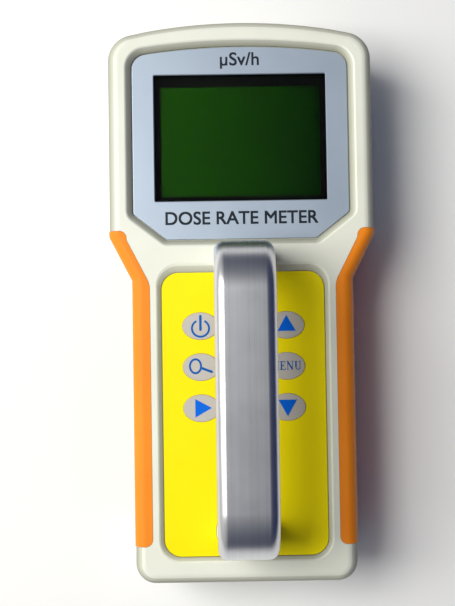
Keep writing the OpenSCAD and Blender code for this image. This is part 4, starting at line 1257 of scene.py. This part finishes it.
def bowHandle():
    footZ, barZ = handleLow.z, handleHigh.z - bow["thick"] / 2
    places = [(0, legYs[0], footZ), (0, legYs[0], barZ), (0, legYs[1], barZ), (0, legYs[1], footZ)]
    piece = grow("bowHandle", buildHandleTree(), places, [(0, 1), (1, 2), (2, 3)], Width=barWidth,
                 Thick=bow["thick"], Edge=bow["edge"], Bend=bow["bend"] + bow["thick"] / 2,
                 Material=materials["handle_metal"])
    for y in legYs:
        cut(piece, rod(0, y, footZ - past, footZ + bow["threadDeep"],
                       bow["screw"] + bow["threadGap"], postSteps))
    return finishPiece(piece, "bowHandle", "case", "handle_metal", ["handle"], sharp=40)


screwHead = {"long": 1.3, "thin": 0.28,  # the cross recess, as shares of the head's radius
             "chamfer": 0.35, "steps": 40, "shankInto": 0.5, "seed": 4, "mostTurn": 1.5}


def buildScrewTree():
    tree, start = newTree("panHeadScrew", "Head Radius", "Head Height", "Shank Radius", "Length",
                          "Chamfer")
    calc, radius, high = partial(maths, tree), start["Head Radius"], start["Head Height"]
    def shifted(mesh, z):
        return addNode(tree, "Transform", {"Geometry": mesh, "Translation": vectorOf(
            tree, 0.0, 0.0, z)}).outputs[0]
    straight = calc("SUBTRACT", high, start["Chamfer"])
    head = addNode(tree, "MeshCylinder", {"Vertices": screwHead["steps"], "Radius": radius,
                                          "Depth": straight})
    headAt = shifted(head.outputs[0], calc("ADD", start["Chamfer"],
                                           calc("MULTIPLY", straight, 0.5)))
    crown = addNode(tree, "MeshCone", {
        "Vertices": screwHead["steps"], "Radius Top": radius, "Depth": start["Chamfer"],
        "Radius Bottom": calc("SUBTRACT", radius, start["Chamfer"])})
    reach = calc("ADD", start["Length"], screwHead["shankInto"])
    shank = addNode(tree, "MeshCylinder", {"Vertices": holeSteps, "Depth": reach,
                                           "Radius": start["Shank Radius"]})
    shankAt = shifted(shank.outputs[0], calc("ADD", calc("SUBTRACT", high, screwHead["shankInto"]),
                                             calc("MULTIPLY", reach, 0.5)))
    solid = addNode(tree, "MeshBoolean", operation="UNION", solver="EXACT")
    for part in (headAt, crown.outputs[0], shankAt):
        tree.links.new(part, solid.inputs["Mesh 2"])
    long, thin = (calc("MULTIPLY", radius, screwHead[arm]) for arm in ("long", "thin"))
    recess = addNode(tree, "MeshBoolean", {"Mesh 1": solid.outputs[0]}, operation="DIFFERENCE",
                     solver="EXACT")
    for size in (vectorOf(tree, long, thin, high), vectorOf(tree, thin, long, high)):
        arm = addNode(tree, "MeshCube", {"Size": size})
        tree.links.new(arm.outputs[0], recess.inputs["Mesh 2"])
    turn = addNode(tree, "FunctionNodeRandomValue", {
        "Min": (0.0, 0.0, 0.0), "Max": (0.0, 0.0, screwHead["mostTurn"]),
        "Seed": screwHead["seed"]}, data_type="FLOAT_VECTOR")
    return scattered(tree, start, recess.outputs[0], Rotation=turn.outputs["Value"])


def caseScrewSet():
    places = [(centre.x, centre.y, low.z) for centre, low, _ in caseScrews]
    low, high = caseScrews[0][1:]
    piece = grow("caseScrewSet", buildScrewTree(), places, Head_Radius=screw["head"],
                 Head_Height=screw["headHigh"], Shank_Radius=screw["shank"],
                 Length=high.z - low.z - screw["headHigh"], Chamfer=screwHead["chamfer"],
                 Material=materials["steel"])
    return finishPiece(piece, "caseScrewSet", "case", "steel", ["case_screws"], sharp=30)


coil = {"wide": 4.5, "narrow": 3.0, "wire": 0.4, "turns": 3.0, "steps": 28, "wireSteps": 10}


def buildSpringTree():
    tree, start = newTree("coilSpring", "Wide", "Narrow", "Wire", "Turns", "Length")
    spiral = addNode(tree, "CurveSpiral", {
        "Resolution": coil["steps"], "Rotations": start["Turns"], "Start Radius": start["Wide"],
        "End Radius": start["Narrow"], "Height": start["Length"]})
    lifted = addNode(tree, "Transform", {"Geometry": spiral.outputs[0], "Translation": vectorOf(
        tree, 0.0, 0.0, start["Wire"])})
    section = addNode(tree, "CurvePrimitiveCircle", {"Resolution": coil["wireSteps"],
                                                     "Radius": start["Wire"]})
    way = addNode(tree, "InputNamedAttribute", {"Name": "way"}, data_type="FLOAT_VECTOR")
    turn = addNode(tree, "FunctionNodeAlignRotationToVector",
                   {"Vector": way.outputs["Attribute"]}, axis="Z")
    return scattered(tree, start, swept(tree, lifted.outputs[0], section.outputs[0]),
                     Rotation=turn.outputs[0])


def batterySprings():
    places, ways = [], []
    for centre, low, high in solidCentres("battery_springs"):
        toHead = centre.y < (bayY0 + bayY1) / 2
        places.append((round((low.x + high.x) / 2, 1), low.y if toHead else high.y,
                       (cellLow.z + cellHigh.z) / 2))
        ways.append((0, 1 if toHead else -1, 0))
    low, high = solidCentres("battery_springs")[0][1:]
    piece = grow("batterySprings", buildSpringTree(), places, ways=ways, Wide=coil["wide"],
                 Narrow=coil["narrow"], Wire=coil["wire"], Turns=coil["turns"],
                 Length=high.y - low.y - 2 * coil["wire"], Material=materials["steel"])
    return finishPiece(piece, "batterySprings", "case", "steel", ["battery_springs"], sharp=50)


def buildRibTree():
    tree, start = newTree("thumbRibs", "Long", "Radius")
    half = maths(tree, "MULTIPLY", start["Long"], 0.5)
    back = maths(tree, "MULTIPLY", half, -1.0)
    line = addNode(tree, "CurvePrimitiveLine", {"Start": vectorOf(tree, back, 0.0, 0.0),
                                                "End": vectorOf(tree, half, 0.0, 0.0)})
    section = addNode(tree, "CurvePrimitiveCircle", {"Resolution": holeSteps,
                                                     "Radius": start["Radius"]})
    return scattered(tree, start, swept(tree, line.outputs[0], section.outputs[0]))


def batteryDoor():
    edge, half, y0, y1, top = (door["edge"], doorHigh.x - door["tongue"],
                               tailY - door["overTail"], doorHigh.y, doorHigh.z)
    def plate(inset):
        x, y = half - inset, y1 - inset
        return [Vector(p) for p in ((-x, y0), (x, y0), (x, y), (-x, y))]
    slab = loft("slab", [(-past / 2, plate(edge)), (0, plate(edge)), (edge, plate(0)),
                         (top, plate(0))])
    join(slab, block(2 * doorHigh.x, y0, y1, top - door["tongueThick"], top))
    piece = combine(rearOuter(rearTop), "INTERSECT", slab)
    first, length = tailY + door["grooveTail"], (door["ribs"] - 1) * door["ribPitch"]
    w, h = door["ribLong"] + door["dishRoom"][0], length + door["dishRoom"][1]
    dish, mouth = (roundRect(w + 2 * more, h + 2 * more, door["dishRound"] + more,
                             (0, first + length / 2)) for more in (0, door["dishFlare"]))
    cut(piece, loft("dish", [(-past, mouth), (0, mouth), (door["dish"], dish)]))
    places = [(0, first + k * door["ribPitch"], door["ribRadius"]) for k in range(door["ribs"])]
    join(piece, grow("thumbRibs", buildRibTree(), places, Long=door["ribLong"],
                     Radius=door["ribRadius"], Material=materials["casing"]))
    return finishPiece(piece, "batteryDoor", "door", "casing", ["battery_door"])


cell = {"button": 1.0, "buttonRadius": 2.7, "pole": 0.2, "bare": 0.75, "steps": 56}


def batteryCell(number):
    node = "battery_" + str(number)
    low, high = boxOf(node)
    middle, r, length = (low + high) / 2, (high.x - low.x) / 2, high.y - low.y
    toHead = number % 2 == 1
    b, body, pole = cell["buttonRadius"], length - cell["button"], cell["pole"]
    profile = [(pole, 0), (r - 1.0, 0), (r - 0.9, 0.25), (r - 0.3, 0.25), (r, 0.6),
               (r, body - 0.6), (r - 0.3, body - 0.2), (r - 1.4, body - 0.2),
               (r - 1.6, body - 0.35), (b + 0.5, body - 0.2), (b, body + 0.1), (b, length - 0.25),
               (b - 0.25, length), (pole, length)]  # radius and height
    piece = loft("cell", [(z, disc(0, 0, radius, cell["steps"])) for radius, z in profile])
    turn = Matrix.Rotation(math.radians(-90 if toHead else 90), 4, "X")
    start = Vector((middle.x, low.y if toHead else high.y, middle.z))
    piece.data.transform(Matrix.Translation(start) @ turn)
    finishPiece(piece, "batteryCell" + str(number), "case", "cell_wrap", [node], sharp=40)
    piece.data.materials.append(materials["steel"])
    for face in piece.data.polygons:
        out = math.hypot(face.center.x - middle.x * mm, face.center.z - middle.z * mm)
        if out < (r - cell["bare"]) * mm:
            face.material_index = 1


frontShell()
print("front shell")
rearShell()
print("rear shell")
sideGrip(1, "gripRight", "grip_right")
sideGrip(-1, "gripLeft", "grip_left")
print("side grips")
displayBezel()
displayLens()
for name, words in lettering["words"].items():
    printedWords(name, *words)
print("display")
keypadOverlay()
for name in keyNames:
    keyCap(name)
    keyMark(name)
    keyDome(name)
print("keypad")
bowHandle()
caseScrewSet()
batterySprings()
batteryDoor()
for number in (1, 2, 3, 4):
    batteryCell(number)
print("handle, screws, springs, door and cells")

# the CAD pieces that stay
nodeSlots = {part["node"]: part["material_slot"] for part in record["subparts"]}
ownFinish = {"lcd_frame": inks["borderInk"]}
for node, piece in frame["nodes"].items():
    finish = ownFinish.get(node, materials[nodeSlots[node]])
    if not piece.material_slots:
        piece.data.materials.append(finish)
    for holder in piece.material_slots:
        holder.material = finish
print("inner pieces dressed")

placeCamera(faceZ)
lightWindow()
lightSky()
layFloor()
print("camera, light and floor")
